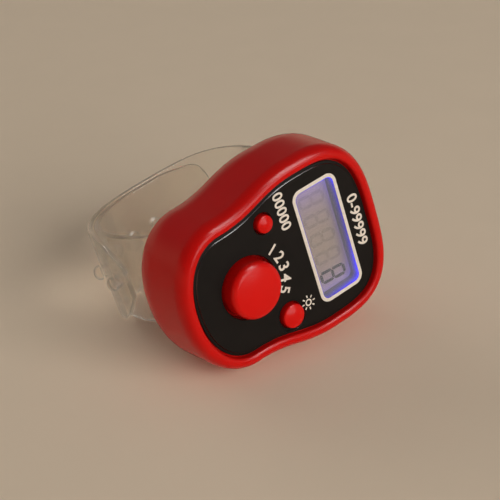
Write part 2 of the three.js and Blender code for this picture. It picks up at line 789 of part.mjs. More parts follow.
// Cuts a cross recess into a screw head whose face is at a height and looks backwards.
function crossed(screw, x, y, face, headRadius, depth) {
  const length = 2 * (headRadius - CROSS_SHOULDER);
  const arms = [
    [length, CROSS_WIDTH],
    [CROSS_WIDTH, length],
  ];
  return cutAll(
    screw,
    arms.map(([a, b]) => block(x, y, a, b, face + depth, face - SEAT_GAP)),
  );
}

// The middle line of the band's loop, in y and z, from the foot by the buttons round to the foot by the
// display
const loopPoint = (slotY) => ([along, behind]) => new THREE.Vector2(slotY + along, BACK - behind);
const footMiddle = FOOT_BOTTOM + FOOT / 2;
const loopLine = new THREE.SplineCurve([
  new THREE.Vector2(LOWER_SLOT_Y, footMiddle),
  ...BUTTON_SIDE_LOOP.map(loopPoint(LOWER_SLOT_Y)),
  ...DISPLAY_SIDE_LOOP.map(loopPoint(UPPER_SLOT_Y)),
  new THREE.Vector2(UPPER_SLOT_Y, footMiddle),
]);
loopLine.arcLengthDivisions = 600;
const loopLength = loopLine.getLength();
const pegPlaces = Array.from({ length: PEGS }, (_, i) => FIRST_PEG + i * PEG_SPACING);

// How far each half lies inside that line, at a distance along it. The inner half follows it until its
// tail peels off, and the outer half lies over the inner one, then comes back to the line near the case.
const innerDepth = (along) => TAIL_DROP * THREE.MathUtils.smoothstep(along, TAIL_PEEL, TAIL_LEVEL);
const outerDepth = (along) =>
  (BAND + BAND_GAP) * (THREE.MathUtils.smoothstep(along, TAIL_PEEL, loopLength - RETURN_LENGTH) - 1);

// A place on the loop, at a distance along it and a depth inside it, and the way out of the loop there.
function onLoop(along, depth) {
  const share = along / loopLength;
  const middle = loopLine.getPointAt(share);
  const forward = loopLine.getTangentAt(share);
  const out = new THREE.Vector2(forward.y, -forward.x);
  return { place: middle.addScaledVector(out, -depth), out };
}

// A half of the band between two distances along the loop, with its width and depth there.
function bandBetween(from, to, widthAt, depthAt) {
  const [half, round] = [BAND / 2, BAND_EDGE_ROUND];
  const positions = [];
  for (let i = 0; i <= BAND_STEPS; i++) {
    const along = THREE.MathUtils.lerp(from, to, i / BAND_STEPS);
    const { place, out } = onLoop(along, depthAt(along));
    const wide = widthAt(along) / 2;
    const section = [
      [wide, half - round],
      [wide, round - half],
      [wide - round, -half],
      [round - wide, -half],
      [-wide, round - half],
      [-wide, half - round],
      [round - wide, half],
      [wide - round, half],
    ];
    for (const [x, height] of section) positions.push(x, place.x + out.x * height, place.y + out.y * height);
  }
  return solidOf(gridGeometry(positions, BAND_STEPS + 1, 8, false));
}

// The foot inside the cover that keeps a half of the band in its slot.
const bandFoot = (y) =>
  block(0, y, BAND_WIDTH - 2 * FOOT_INSET, FOOT_WIDTH, FOOT_BOTTOM + FOOT, FOOT_BOTTOM);

// A round piece turned from a profile and set on the loop, looking out of it.
function setOnLoop(profile, along, depth) {
  const geometry = new THREE.LatheGeometry(
    profile.map(([radius, height]) => new THREE.Vector2(radius, height)),
    PIN_SIDES,
  );
  const { place, out } = onLoop(along, depth);
  const outwards = new THREE.Vector3(0, out.x, out.y);
  geometry.applyQuaternion(
    new THREE.Quaternion().setFromUnitVectors(new THREE.Vector3(0, 1, 0), outwards),
  );
  return solidOf(geometry.translate(0, place.x, place.y));
}

// The inner half, from the slot by the buttons: its pegs reach out through the outer half, and its tail
// has round corners.
function pegHalf() {
  const neck = BAND / 2 + BAND_GAP + BAND + PEG_GAP;
  const headSide = neck + PEG_HEAD_SIDE;
  const profile = [
    [0, 0],
    [PEG_RADIUS, 0],
    [PEG_RADIUS, neck],
    [PEG_HEAD_RADIUS, neck],
    ...arc([0, headSide], [PEG_HEAD_RADIUS, PEG_HEAD], 0, 80, 3),
    [0, headSide + PEG_HEAD],
  ];
  const pegs = pegPlaces.map((along) => setOnLoop(profile, along, innerDepth(along)));
  const widthAt = (along) => {
    const fromEnd = Math.min((TAIL_END - along) / TAIL_ROUND, 1);
    return BAND_WIDTH - 2 * TAIL_ROUND * (1 - Math.sqrt(1 - (1 - fromEnd) ** 2));
  };
  const strip = bandBetween(0, TAIL_END, widthAt, innerDepth);
  return addAll(strip, [bandFoot(LOWER_SLOT_Y), ...pegs]);
}

// The outer half, from the slot by the display: it narrows to a round end, with a row of holes.
function holeHalf() {
  const widthAt = (along) => {
    const fromEnd = Math.min((along - OUTER_END) / TAPER_LENGTH, 1);
    return BAND_END_WIDTH + (BAND_WIDTH - BAND_END_WIDTH) * Math.sin((fromEnd * Math.PI) / 2);
  };
  const radius = PEG_RADIUS + PEG_GAP;
  const reach = (BAND + BAND_GAP) / 2;
  const profile = [
    [0, -reach],
    [radius, -reach],
    [radius, reach],
    [0, reach],
  ];
  const spare = Array.from({ length: SPARE_HOLES }, (_, i) => pegPlaces.at(-1) + (i + 1) * PEG_SPACING);
  const holes = [...pegPlaces, ...spare].map((along) => setOnLoop(profile, along, outerDepth(along)));
  const strip = bandBetween(OUTER_END, loopLength, widthAt, outerDepth);
  return cutAll(strip.add(bandFoot(UPPER_SLOT_Y)), holes);
}

// The case and all it holds, in the case's own axes
const counter = new THREE.Group();
const add = (name, solid, material) => counter.add(meshOf(name, solid, material));

add("front_shell", frontShell(), redPlastic);
add("back_cover", backCover(), redPlastic);
add("face_panel", facePanel(), blackPanel);
add("display_window", displayWindow(), clearPlastic);
add("light_frame", lightFrame(), lightGuide);
add("display_glass", displayCell(), displayGlass);
add("display_diffuser", displayDiffuser(), whitePlastic);
add("connector_strip", connectorStrip(), greyRubber);
add("circuit_board", circuitBoard(), boardGreen);
add("count_button", countButton(buttons.count_button), redPlastic);
add("reset_button", smallButton(buttons.reset_button), redPlastic);
add("lamp_button", smallButton(buttons.lamp_button), redPlastic);
add("count_switch", pressSwitch(buttons.count_button), switchBlack);
add("reset_switch", pressSwitch(buttons.reset_button), switchBlack);
add("lamp_switch", pressSwitch(buttons.lamp_button), switchBlack);
add("blue_lamp", blueLamp(), lampClear);
add("chip_cap", chipCap(), blackEpoxy);
add("resistor", boardPart(SMALL_PART_X, SMALL_PART_Y), blackEpoxy);
add("capacitor", boardPart(-SMALL_PART_X, SMALL_PART_Y), whitePlastic);
add("cell_tray", cellTray(), switchBlack);
add("upper_cell", buttonCell(upperCellY), steel);
add("lower_cell", buttonCell(lowerCellY), steel);
add("upper_contact", frontContact(upperCellY), steel);
add("lower_contact", frontContact(lowerCellY), steel);
add("bridge_contact", bridgeContact(), steel);
caseScrewPlaces.forEach(([x, y], i) => add(`case_screw_${i + 1}`, caseScrew(x, y), steel));
boardScrewPlaces.forEach(([x, y], i) => add(`board_screw_${i + 1}`, boardScrew(x, y), steel));
add("band_peg_half", pegHalf(), bandClear);
add("band_hole_half", holeHalf(), bandClear);

// Finds where a rising function crosses zero.
function crossing(rising, low, high) {
  for (let i = 0; i < 40; i++) {
    const middle = (low + high) / 2;
    if (rising(middle) < 0) low = middle;
    else high = middle;
  }
  return (low + high) / 2;
}

// The stance: both lobes of the long side touch the table, and the case leans back on its band.
function stand(group) {
  const side = outline.map(({ place, outward }) => place.clone().addScaledVector(outward, RIM_WIDTH));
  const waistY = (UPPER_WIDEST_Y + LOWER_WIDEST_Y) / 2;
  const reach = (points, angle) =>
    Math.max(...points.map((p) => p.x * Math.cos(angle) + p.y * Math.sin(angle)));
  const upper = side.filter((p) => p.x > 0 && p.y > waistY);
  const lower = side.filter((p) => p.x > 0 && p.y <= waistY);
  const tilt = crossing((angle) => reach(lower, -angle) - reach(upper, -angle), 0, Math.PI / 4);

  const upright = new THREE.Matrix4().makeBasis(
    new THREE.Vector3(0, 0, -1),
    new THREE.Vector3(1, 0, 0),
    new THREE.Vector3(0, -1, 0),
  );
  const tilted = new THREE.Matrix4().makeRotationY(-tilt).multiply(upright);
  const turnedBack = (angle) => new THREE.Matrix4().makeRotationX(-angle).multiply(tilted);
  const lowest = (name, matrix) => {
    const mesh = group.getObjectByName(name);
    return new THREE.Box3().setFromArray(
      mesh.geometry.clone().applyMatrix4(matrix).attributes.position.array,
    ).min.z;
  };
  const overBand = (angle) => {
    const matrix = turnedBack(angle);
    const band = Math.min(lowest("band_peg_half", matrix), lowest("band_hole_half", matrix));
    return lowest("front_shell", matrix) - band;
  };
  const lean = crossing(overBand, 0, Math.PI / 4);
  group.applyMatrix4(turnedBack(lean));
}

stand(counter);
const part = new THREE.Group();
part.add(counter);
const box = new THREE.Box3().setFromObject(part, true);
counter.position.sub(new THREE.Vector3((box.min.x + box.max.x) / 2, (box.min.y + box.max.y) / 2, box.min.z));

export default part;
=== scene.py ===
"""Finger tally counter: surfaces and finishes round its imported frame, laid out as an add-on."""
import json
import math

import bmesh
import bpy
import numpy as np
from bpy.props import FloatProperty, FloatVectorProperty, IntProperty, PointerProperty
from mathutils import Matrix, Vector


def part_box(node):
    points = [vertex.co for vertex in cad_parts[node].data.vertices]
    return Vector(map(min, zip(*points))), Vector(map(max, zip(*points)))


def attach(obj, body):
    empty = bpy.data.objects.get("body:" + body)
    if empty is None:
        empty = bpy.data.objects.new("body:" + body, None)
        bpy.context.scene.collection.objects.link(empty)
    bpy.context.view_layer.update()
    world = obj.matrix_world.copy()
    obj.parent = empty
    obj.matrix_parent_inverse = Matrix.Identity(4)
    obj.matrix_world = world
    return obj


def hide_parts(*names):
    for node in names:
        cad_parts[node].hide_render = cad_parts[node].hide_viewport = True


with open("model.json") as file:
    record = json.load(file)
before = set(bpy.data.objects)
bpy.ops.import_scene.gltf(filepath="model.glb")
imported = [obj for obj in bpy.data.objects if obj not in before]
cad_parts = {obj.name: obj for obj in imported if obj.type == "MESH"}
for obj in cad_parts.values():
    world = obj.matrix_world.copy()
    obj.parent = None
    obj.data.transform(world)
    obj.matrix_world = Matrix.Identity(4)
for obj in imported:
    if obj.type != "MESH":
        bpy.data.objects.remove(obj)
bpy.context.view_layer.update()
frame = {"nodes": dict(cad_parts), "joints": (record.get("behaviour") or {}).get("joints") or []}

bl_info = {
    "name": "Finger tally counter",
    "version": (1, 0, 0),
    "blender": (4, 5, 0),
    "location": "3D View > Sidebar > Counter",
    "description": "Builds the shell, face, display, buttons and strap of a finger tally counter",
    "category": "Object",
}

MM = 0.001

# The camera's sensor width in millimetres, and the picture's side in pixels
SENSOR = 36
PICTURE = 500

# Facets and other counts
OUTLINE_POINTS = 420
SIDE_SAMPLES = 400
TURN_SIDES = 96
SCREW_SIDES = 48
STRIP_STEPS = 240
CORNER_STEPS = 12
CURL_STEPS = 10
RIM_STEPS = 36
BACK_STEPS = 28
WALL_STEPS = 8


def linear(code):
    """An sRGB hex colour as linear red, green and blue."""
    channels = [int(code[i : i + 2], 16) / 255 for i in (1, 3, 5)]
    return tuple(c / 12.92 if c <= 0.04045 else ((c + 0.055) / 1.055) ** 2.4 for c in channels)


def length(label, millimetres, what):
    """A length that the user can set, given here in millimetres."""
    return FloatProperty(
        name=label, description=what, default=millimetres * MM, unit="LENGTH", precision=5
    )


def level(label, default, what):
    """A strength of light that the user can set."""
    return FloatProperty(name=label, description=what, default=default, min=0)


def lamp_power(label, watts, what):
    """A lamp's power that the user can set, in watts."""
    return FloatProperty(name=label, description=what, default=watts, unit="POWER", min=0)


def colour(label, code, what):
    """A colour that the user can set, given here as sRGB hex."""
    return FloatVectorProperty(
        name=label, description=what, default=linear(code), subtype="COLOR", size=3, min=0, max=1
    )


class CounterCase(bpy.types.PropertyGroup):
    """Sizes of the case, in the case's own axes, with zero height on the face panel."""

    display_end: length("Display end", 18.85, "Inner edge of the rim at the display end")
    button_end: length("Button end", -14.7, "Inner edge of the rim at the button end")
    upper_half: length("Upper half width", 12.85, "Half the outline's width beside the display")
    upper_widest: length("Upper widest place", 7.85, "Where the outline is widest by the display")
    lower_half: length("Lower half width", 10.3, "Half the outline's width beside the count button")
    lower_widest: length("Lower widest place", -7.3, "Where the outline is widest by the button")
    upper_square: FloatProperty(
        name="Display end squareness", description="Two is an ellipse, more is squarer", default=3.2
    )
    lower_square: FloatProperty(
        name="Button end squareness", description="Two is an ellipse, more is squarer", default=2.14
    )
    waist_ease: length("Waist ease", 6.8, "How gently the sides draw in to the waist")
    depth: length("Case depth", 12.5, "From the face panel to the back")
    rim_height: length("Rim height", 0.65, "How far the rim stands above the panel")
    rim_crest: length("Rim crest", 0.7, "From the rim's inner edge to its crest")
    rim_width: length("Rim width", 2.15, "From the rim's inner edge to the side wall")
    rim_round: length("Rim inner rounding", 0.5, "Rounding of the rim's inner edge")
    rim_fall: length("Rim fall", 2.7, "How far the rim curves down to the side wall")
    back_flare: length("Back flare", 0.3, "How far the side wall spreads towards the back")
    back_round: length("Back rounding", 1.75, "How far the back edge's rounding reaches in")
    back_fall: length("Back rounding rise", 4.35, "How far the back rounding runs up the wall")
    back_lip: length("Back lip", 0.4, "Flat lip round the cover")
    ledge: length("Cover ledge", 0.5, "Width of the ledge that the cover sits on")
    ledge_height: length("Ledge height", 0.8, "Height of the ledge that the cover sits on")
    wall: length("Wall", 1.5, "Thickness of the side wall")
    deck: length("Deck", 1.3, "Thickness of the deck under the panel")
    cover: length("Cover", 1.2, "Thickness of the back cover")
    seat: length("Seat gap", 0.1, "Gap between fitted pieces")
    colour: colour("Shell", "#C70D08", "Colour of the red moulding")


class CounterFace(bpy.types.PropertyGroup):
    """Sizes and colours of the panel, its print and the display."""

    thickness: length("Panel", 0.6, "Thickness of the face panel")
    groove: length("Panel groove", 0.3, "Gap between the rim and the panel")
    step: length("Panel step", 0.16, "Drop of the panel's sunk margin")
    margin: length("Panel margin", 0.42, "Width of the panel's sunk margin")
    bevel: length("Panel bevel", 0.11, "Bevel along the panel's raised field")
    window_length: length("Window length", 18.5, "Length of the display's window")
    window_height: length("Window height", 7.2, "Height of the display's window")
    window_corner: length("Window corner", 1, "Corner radius of the display's window")
    window_inset: length("Window inset", 8.3, "From the display end to the middle of the window")
    line_width: length("Printed line", 0.57, "Width of the printed line round the window")
    print_height: length("Print height", 0.015, "Thickness of the printed ink")
    frame_wall: length("Light frame wall", 1, "Wall of the light guide frame")
    glass_length: length("Display length", 20.6, "Length of the display glass")
    glass_height: length("Display height", 10, "Height of the display glass")
    glass: length("Display glass", 0.7, "Thickness of the display's front glass")
    digit_height: length("Figure height", 5.1, "Height of the display's figures")
    digit_width: length("Figure width", 2.3, "Width of the display's figures")
    digit_pitch: length("Figure pitch", 3.35, "Distance between the display's figures")
    segment: length("Segment", 0.62, "Width of the display's segments")
    panel_colour: colour("Panel", "#130F0C", "Colour of the face panel")
    ink_colour: colour("Ink", "#E6DACA", "Colour of the printed lines and marks")
    glass_colour: colour("Display", "#917C66", "Colour of the unlit display")
    glow_colour: colour("Glow", "#2C24FF", "Colour of the light round the display")


class CounterButtons(bpy.types.PropertyGroup):
    """Sizes of the three buttons."""

    count_radius: length("Count button", 4.5, "Radius of the count button")
    count_inset: length("Count button inset", 9.72, "From the button end to the count button")
    count_height: length("Count button height", 2.85, "Height of the count button above the panel")
    count_round: length("Count button edge", 1.1, "Rounding of the count button's edge")
    count_crown: length("Count button crown", 0.4, "Rise of the count button's top")
    side_x: length("Small buttons across", 8.2, "From the middle to each small button")
    side_y: length("Small buttons along", 0.4, "Place of the small buttons along the case")
    reset_radius: length("Reset button", 1.4, "Radius of the reset button")
    reset_height: length("Reset button height", 1.15, "Height of the reset button")
    lamp_radius: length("Lamp button", 1.95, "Radius of the lamp button")
    lamp_height: length("Lamp button height", 1.1, "Height of the lamp button")
    ring_width: length("Lamp button ring", 0.8, "Width of the ring round the lamp button")
    ring_depth: length("Ring depth", 0.2, "Depth of the ring round the lamp button")
    small_crown: length("Small crown", 0.35, "Rise of the small buttons' tops")
    count_gap: length("Count button gap", 0.45, "Gap round the count button")
    gap: length("Button gap", 0.25, "Gap round each small button")
    flange: length("Flange", 0.55, "Thickness of the flange under the deck")
    flange_hold: length("Flange hold", 0.35, "How far a flange reaches under the deck")
    colour: colour("Buttons", "#D40F09", "Colour of the buttons")


class CounterBand(bpy.types.PropertyGroup):
    """Sizes of the clear strap."""

    width: length("Strap width", 16, "Width of the strap")
    thickness: length("Strap", 0.95, "Thickness of the strap")
    rounding: length("Strap edge", 0.3, "Rounding of the strap's edges")
    gap: length("Strap gap", 0.3, "Gap between the strap's halves")
    lower_inset: length("Lower slot inset", 5.25, "From the button end to the lower slot")
    upper_inset: length("Upper slot inset", 3.15, "From the display end to the upper slot")
    slot_gap: length("Slot gap", 0.3, "Gap round the strap in its slot")
    foot: length("Foot", 0.9, "Thickness of the foot inside the cover")
    peg_radius: length("Peg", 0.75, "Radius of a peg")
    peg_head_radius: length("Peg head", 1.25, "Radius of a peg's head")
    peg_side: length("Peg head side", 0.3, "Straight side of a peg's head")
    peg_head: length("Peg head height", 1, "Height of a peg's rounded head")
    peg_gap: length("Peg gap", 0.3, "Gap round a peg in its hole")
    first_peg: length("First peg", 14, "From the lower foot to the first peg, along the strap")
    peg_pitch: length("Peg pitch", 4.9, "Distance between pegs, and between holes")
    pegs: IntProperty(name="Pegs", description="Pegs on the inner half", default=2, min=1)
    spare_holes: IntProperty(name="Spare holes", description="Holes left free", default=3, min=0)
    outer_end: length("Outer end", 11.6, "Where the outer half ends, from the lower foot")
    taper: length("Taper", 5, "Length of the outer half's rounded end")
    end_width: length("End width", 6, "Width of the outer half's end")
    peel: length("Tail start", 35, "Where the inner half's tail leaves the loop")
    tail_end: length("Tail end", 45.5, "Where the tail ends")
    tail_round: length("Tail rounding", 4, "Radius of the tail's corners")
    tail_level: length("Tail level", 47.8, "Where the tail would lie level again")
    tail_drop: length("Tail drop", 4, "How far the tail comes away from the loop")
    back_length: length("Outer return", 4.2, "Where the outer half is back on the loop")
    straight: length("Straight", 1.2, "Straight run of the strap behind the case")
    colour: colour("Strap", "#FDFAF4", "Colour of the clear strap")


class CounterStage(bpy.types.PropertyGroup):
    """The floor, the lamps and the camera."""

    floor: colour("Floor", "#F2DCC0", "Colour of the floor")
    backdrop: colour("Backdrop", "#F2DCC0", "Colour of the backdrop")
    backdrop_level: level("Backdrop level", 0.72, "Strength of the backdrop")
    ceiling: level("Ceiling", 0.12, "Strength of the light from above")
    key: lamp_power("Key", 18.5, "Power of the front lamp")
    crest: lamp_power("Crest", 16, "Power of the high lamp")
    back: lamp_power("Back", 4, "Power of the lamp behind")
    lens: FloatProperty(name="Lens", description="Focal length in millimetres", default=86.04)
    distance: length("Camera distance", 180, "From the case's origin to the camera")


# Points of the strap's loop: along the case from the nearer slot, and behind it, in millimetres
BUTTON_SIDE_LOOP = (
    (-2.3, 5.2), (-4, 9.2), (-4.5, 13.2), (-3.4, 16.9), (-0.4, 19.6), (4.3, 21), (9.5, 21.5)
)
DISPLAY_SIDE_LOOP = ((-10.3, 21.7), (-5.3, 21.1), (-1.4, 18.2), (0.9, 13.2), (1, 7))

# Each lamp's size and place, in metres
KEY_LAMP = (1.3, 1.0), (0.24, -1.44, 0.67)
CREST_LAMP = (0.45, 0.8), (0.37, -0.6, 1.1)
BACK_LAMP = (1.2, 0.8), (-0.35, 1.35, 0.75)

# Screws of the back cover
SCREW_HEAD = 1.35 * MM
SCREW_SHANK = 0.7 * MM
SCREW_LENGTH = 3 * MM
SCREW_TURNS = (20, 65, -30, 50)

# How tall a printed figure is, as a share of its type size, and how much heavier it is drawn
FIGURE_SHARE = 0.7
FIGURE_WEIGHT = 0.05 * MM

# Printed marks: what they say, their height and middle in millimetres, and their turn in degrees
MARKS = (("00000", 1.75, (-8.3, 4.0), 0), ("0-99999", 1.9, (-0.1, 16.55), -1))

# The arc of figures round the count button, with its angles in degrees
ARC_FIGURES = "12345"
ARC_HEIGHT = 1.85 * MM
ARC_RADIUS = 6.5 * MM
ARC_START = 123
ARC_STEP = 16.5

# The lamp sign: its middle, its ring's radii, and its rays' ends and half width
SIGN_MIDDLE = (7.9 * MM, 3.85 * MM)
SIGN_RING = (0.6 * MM, 0.36 * MM)
SIGN_RAYS = (0.82 * MM, 1.25 * MM)
SIGN_HALF = 0.11 * MM
SIGN_SIDES = 32

# The display's figures, and how far their middle lies from the window's
FIGURES = 5
FIGURES_SHIFT = (0.5 * MM, 0.3 * MM)
FIGURE_LEAN = 0.09

# The picture's right and up in the case's axes, and the case's origin in pixels from its middle
VIEW_RIGHT = (0.2701, 0.767, 0.5821)
VIEW_UP = (-0.8392, 0.4838, -0.2481)
VIEW_SHIFT = (25.75, -21.56)

# The cells' middle, from the case's origin along the case and down from the panel
CELLS_ALONG = 2.9 * MM
CELLS_DOWN = 7.125 * MM


def case_axes():
    """The case's axes in the frame: across, along towards the display, and outwards."""
    press = next(j for j in frame["joints"] if j["name"] == "count_press")
    outwards = -Vector(press["axis"]).normalized()
    upper, lower = (sum(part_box(n), Vector()) / 2 for n in ("upper_cell", "lower_cell"))
    along = (upper - lower).normalized()
    across = along.cross(outwards)
    origin = (upper + lower) / 2 - along * CELLS_ALONG + outwards * CELLS_DOWN
    turn = Matrix((across, along, outwards)).transposed()
    return Matrix.Translation(origin) @ turn.to_4x4()


CASE = case_axes()


def settings(*names):
    """The groups of sizes and colours that are asked for."""
    return [getattr(bpy.context.scene, f"counter_{name}") for name in names]


# Outlines and profiles
def arc(middle, radii, start, end, steps):
    """Points on an arc of an ellipse, between two angles in degrees."""
    angles = np.radians(np.linspace(start, end, steps + 1))
    return np.column_stack(
        (middle[0] + radii[0] * np.cos(angles), middle[1] + radii[1] * np.sin(angles))
    )


def evenly(points, count):
    """Points at even distances round a closed line."""
    closed = np.vstack((points, points[:1]))
    gaps = np.linalg.norm(np.diff(closed, axis=0), axis=1)
    run = np.concatenate(([0], np.cumsum(gaps)))
    at = np.linspace(0, run[-1], count, endpoint=False)
    return np.column_stack([np.interp(at, run, closed[:, i]) for i in range(2)])


def case_outline(case):
    """The outline's places, anticlockwise, and the direction outwards at each."""
    t = np.linspace(0, math.pi / 2, SIDE_SAMPLES)

    def shoulder(half, widest, end, square):
        return np.column_stack(
            (
                half * np.sin(t) ** (2 / square),
                widest + (end - widest) * np.abs(np.cos(t)) ** (2 / square),
            )
        )

    upper = shoulder(case.upper_half, case.upper_widest, case.display_end, case.upper_square)
    lower = shoulder(case.lower_half, case.lower_widest, case.button_end, case.lower_square)[::-1]
    corners = np.array(
        (
            (case.upper_half, case.upper_widest),
            (case.upper_half, case.upper_widest - case.waist_ease),
            (case.lower_half, case.lower_widest + case.waist_ease),
            (case.lower_half, case.lower_widest),
        )
    )
    s = np.linspace(0, 1, SIDE_SAMPLES)[:, None]
    weights = np.hstack(((1 - s) ** 3, 3 * s * (1 - s) ** 2, 3 * s**2 * (1 - s), s**3))
    right = np.vstack((upper[:-1], weights @ corners, lower[1:]))
    left = right[1:-1][::-1] * (-1, 1)
    places = evenly(np.vstack((right, left))[::-1], OUTLINE_POINTS)
    along = np.roll(places, -2, axis=0) - np.roll(places, 2, axis=0)
    along /= np.linalg.norm(along, axis=1)[:, None]
    return places, np.column_stack((along[:, 1], -along[:, 0]))


def moved_outline(case, outwards):
    """The outline moved outwards by a distance."""
    places, outward = case_outline(case)
    return places + outward * outwards


def rounded_rectangle(middle, size, corner):
    """A rectangle with round corners, anticlockwise."""
    x, y = size[0] / 2 - corner, size[1] / 2 - corner
    corners = ((x, y, 0), (-x, y, 90), (-x, -y, 180), (x, -y, 270))
    rounds = []
    for a, b, start in corners:
        centre = (middle[0] + a, middle[1] + b)
        rounds.append(arc(centre, (corner, corner), start, start + 90, CORNER_STEPS))
    return np.vstack(rounds)


def circle(middle, radius, sides=TURN_SIDES):
    """A circle's points, anticlockwise."""
    return arc(middle, (radius, radius), 0, 360, sides)[:-1]


def window_shape(face, case, outwards=0.0):
    """The display window's outline, moved outwards by a distance."""
    middle = (0, case.display_end - face.window_inset)
    size = (face.window_length + 2 * outwards, face.window_height + 2 * outwards)
    return rounded_rectangle(middle, size, face.window_corner + outwards)


# Meshes
def grid_faces(rows, columns, joined=False):
    """Quads over rows of closed rings, joined end to end or left open."""
    faces = []
    for row in range(rows if joined else rows - 1):
        after = (row + 1) % rows
        for column in range(columns):
            beside = (column + 1) % columns
            here, there = row * columns, after * columns
            faces.append((here + column, here + beside, there + beside, there + column))
    return faces


def skin(rings):
    """A closed skin over rings of points, with a flat end at each."""
    rings = np.asarray(rings)
    rows, columns = rings.shape[:2]
    faces = grid_faces(rows, columns)
    faces.append(tuple(range(columns)))
    faces.append(tuple(range((rows - 1) * columns, rows * columns)))
    return rings.reshape(-1, 3), faces


def ring_wall(places, outward, profile):
    """A closed wall round a path, from a closed profile of outward distance and height."""
    profile = np.asarray(profile)
    flat = places[:, None, :] + outward[:, None, :] * profile[None, :, :1]
    heights = np.broadcast_to(profile[None, :, 1:], flat.shape[:2] + (1,))
    points = np.concatenate((flat, heights), axis=2).reshape(-1, 3)
    return points, grid_faces(len(places), len(profile), True)


def turned(profile, middle, sides=TURN_SIDES):
    """A round piece turned from a profile of radius and height."""
    rings = []
    for radius, height in profile:
        rings.append(np.column_stack((circle(middle, radius, sides), np.full(sides, height))))
    return skin(rings)


def prism(points, top, bottom):
    """An upright prism of one outline."""
    return skin([np.column_stack((points, np.full(len(points), z))) for z in (bottom, top)])


def joined(parts):
    """Several meshes as one list of points and faces."""
    points, faces, count = [], [], 0
    for some_points, some_faces in parts:
        points.append(some_points)
        faces += [tuple(i + count for i in face) for face in some_faces]
        count += len(some_points)
    return np.vstack(points), faces


def new_mesh(name, points, faces):
    """A mesh from points in the case's axes, with its faces turned outwards."""
    mesh = bpy.data.meshes.new(name)
    mesh.from_pydata(np.asarray(points, float).tolist(), [], faces)
    made = bmesh.new()
    made.from_mesh(mesh)
    bmesh.ops.recalc_face_normals(made, faces=made.faces)
    made.to_mesh(mesh)
    made.free()
    return mesh


def place(mesh, material, name, body="case", nodes=(), sharp=32.0):
    """Puts a mesh made in the case's axes into the frame as a finished piece."""
    mesh.transform(CASE)
    mesh.materials.clear()
    mesh.materials.append(material)
    mesh.shade_smooth()
    mesh.set_sharp_from_angle(angle=math.radians(sharp))
    piece = bpy.data.objects.new(name, mesh)
    bpy.context.scene.collection.objects.link(piece)
    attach(piece, body)
    if nodes:
        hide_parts(*nodes)
    return piece


def plate_mesh(name, loops, top, bottom, edge, steps=2):
    """A flat plate with holes, from its outlines, with round edges or, at no steps, chamfers."""
    curve = bpy.data.curves.new(name, "CURVE")
    curve.dimensions, curve.fill_mode = "2D", "BOTH"
    for loop in loops:
        spline = curve.splines.new("POLY")
        spline.points.add(len(loop) - 1)
        flat = np.column_stack((np.asarray(loop) / MM, np.zeros(len(loop)), np.ones(len(loop))))
        spline.points.foreach_set("co", flat.ravel())
        spline.use_cyclic_u = True
    curve.extrude = ((top - bottom) / 2 - edge) / MM
    curve.bevel_depth, curve.bevel_resolution = edge / MM, steps
    curve.offset = -edge / MM
    return curve_mesh(curve, MM, (0, 0, (top + bottom) / 2))


def curve_mesh(curve, scale, shift):
    """A curve or text drawn in larger units, as a closed mesh at its real size and place."""
    drawn = bpy.data.objects.new(curve.name, curve)
    bpy.context.scene.collection.objects.link(drawn)
    seen = drawn.evaluated_get(bpy.context.evaluated_depsgraph_get())
    mesh = bpy.data.meshes.new_from_object(seen)
    bpy.data.objects.remove(drawn)
    bpy.data.curves.remove(curve)
    made = bmesh.new()
    made.from_mesh(mesh)
    bmesh.ops.remove_doubles(made, verts=made.verts, dist=1e-4)
    bmesh.ops.recalc_face_normals(made, faces=made.faces)
    made.to_mesh(mesh)
    made.free()
    mesh.transform(Matrix.Translation(shift) @ Matrix.Scale(scale, 4))
    return mesh


def combined(mesh, others, operation):
    """A mesh with others cut from it or joined to it."""
    target = bpy.data.objects.new("target", mesh)
    tools = [bpy.data.objects.new("tool", other) for other in others]
    for obj in (target, *tools):
        bpy.context.scene.collection.objects.link(obj)
    for tool in tools:
        cut = target.modifiers.new("cut", "BOOLEAN")
        cut.operation, cut.solver, cut.object = operation, "EXACT", tool
    seen = target.evaluated_get(bpy.context.evaluated_depsgraph_get())
    result = bpy.data.meshes.new_from_object(seen)
    for obj in (target, *tools):
        used = obj.data
        bpy.data.objects.remove(obj)
        bpy.data.meshes.remove(used)
    return result


# Materials
def add_node(tree, kind, values=None, links=None):
    """Adds a node, with its settings and socket values, and the sockets that feed it."""
    node = tree.nodes.new(kind)
    for key, value in (values or {}).items():
        if isinstance(key, int) or key in node.inputs:
            node.inputs[key].default_value = value
        else:
            setattr(node, key, value)
    for key, source in (links or {}).items():
        tree.links.new(source, node.inputs[key])
    return node


def surface(name, values):
    """A material with one principled shader: returns it, its tree, the shader and the place."""
    material = bpy.data.materials.new(name)
    material.use_nodes = True
    tree = material.node_tree
    tree.nodes.clear()
    shader = add_node(tree, "ShaderNodeBsdfPrincipled", values)
    add_node(tree, "ShaderNodeOutputMaterial", None, {"Surface": shader.outputs[0]})
    where = add_node(tree, "ShaderNodeTexCoord").outputs["Object"]
    return material, tree, shader, where


def noise(tree, where, grain, detail=3.0, rough=0.5):
    """Noise whose lumps are about one grain size across, in metres."""
    values = {"Scale": 1 / grain, "Detail": detail, "Roughness": rough}
    return add_node(tree, "ShaderNodeTexNoise", values, {"Vector": where}).outputs["Fac"]


def between(tree, source, low, high):
    """Spreads noise over a range of values."""
    values = {"From Min": 0.3, "From Max": 0.7, "To Min": low, "To Max": high}
    return add_node(tree, "ShaderNodeMapRange", values, {"Value": source}).outputs[0]


def eased(tree, source, start, end, low, high):
    """Runs from one value to another, with level ends, while a source runs from start to end."""
    values = {"From Min": start, "From Max": end, "To Min": low, "To Max": high}
    values["interpolation_type"] = "SMOOTHSTEP"
    return add_node(tree, "ShaderNodeMapRange", values, {"Value": source}).outputs[0]


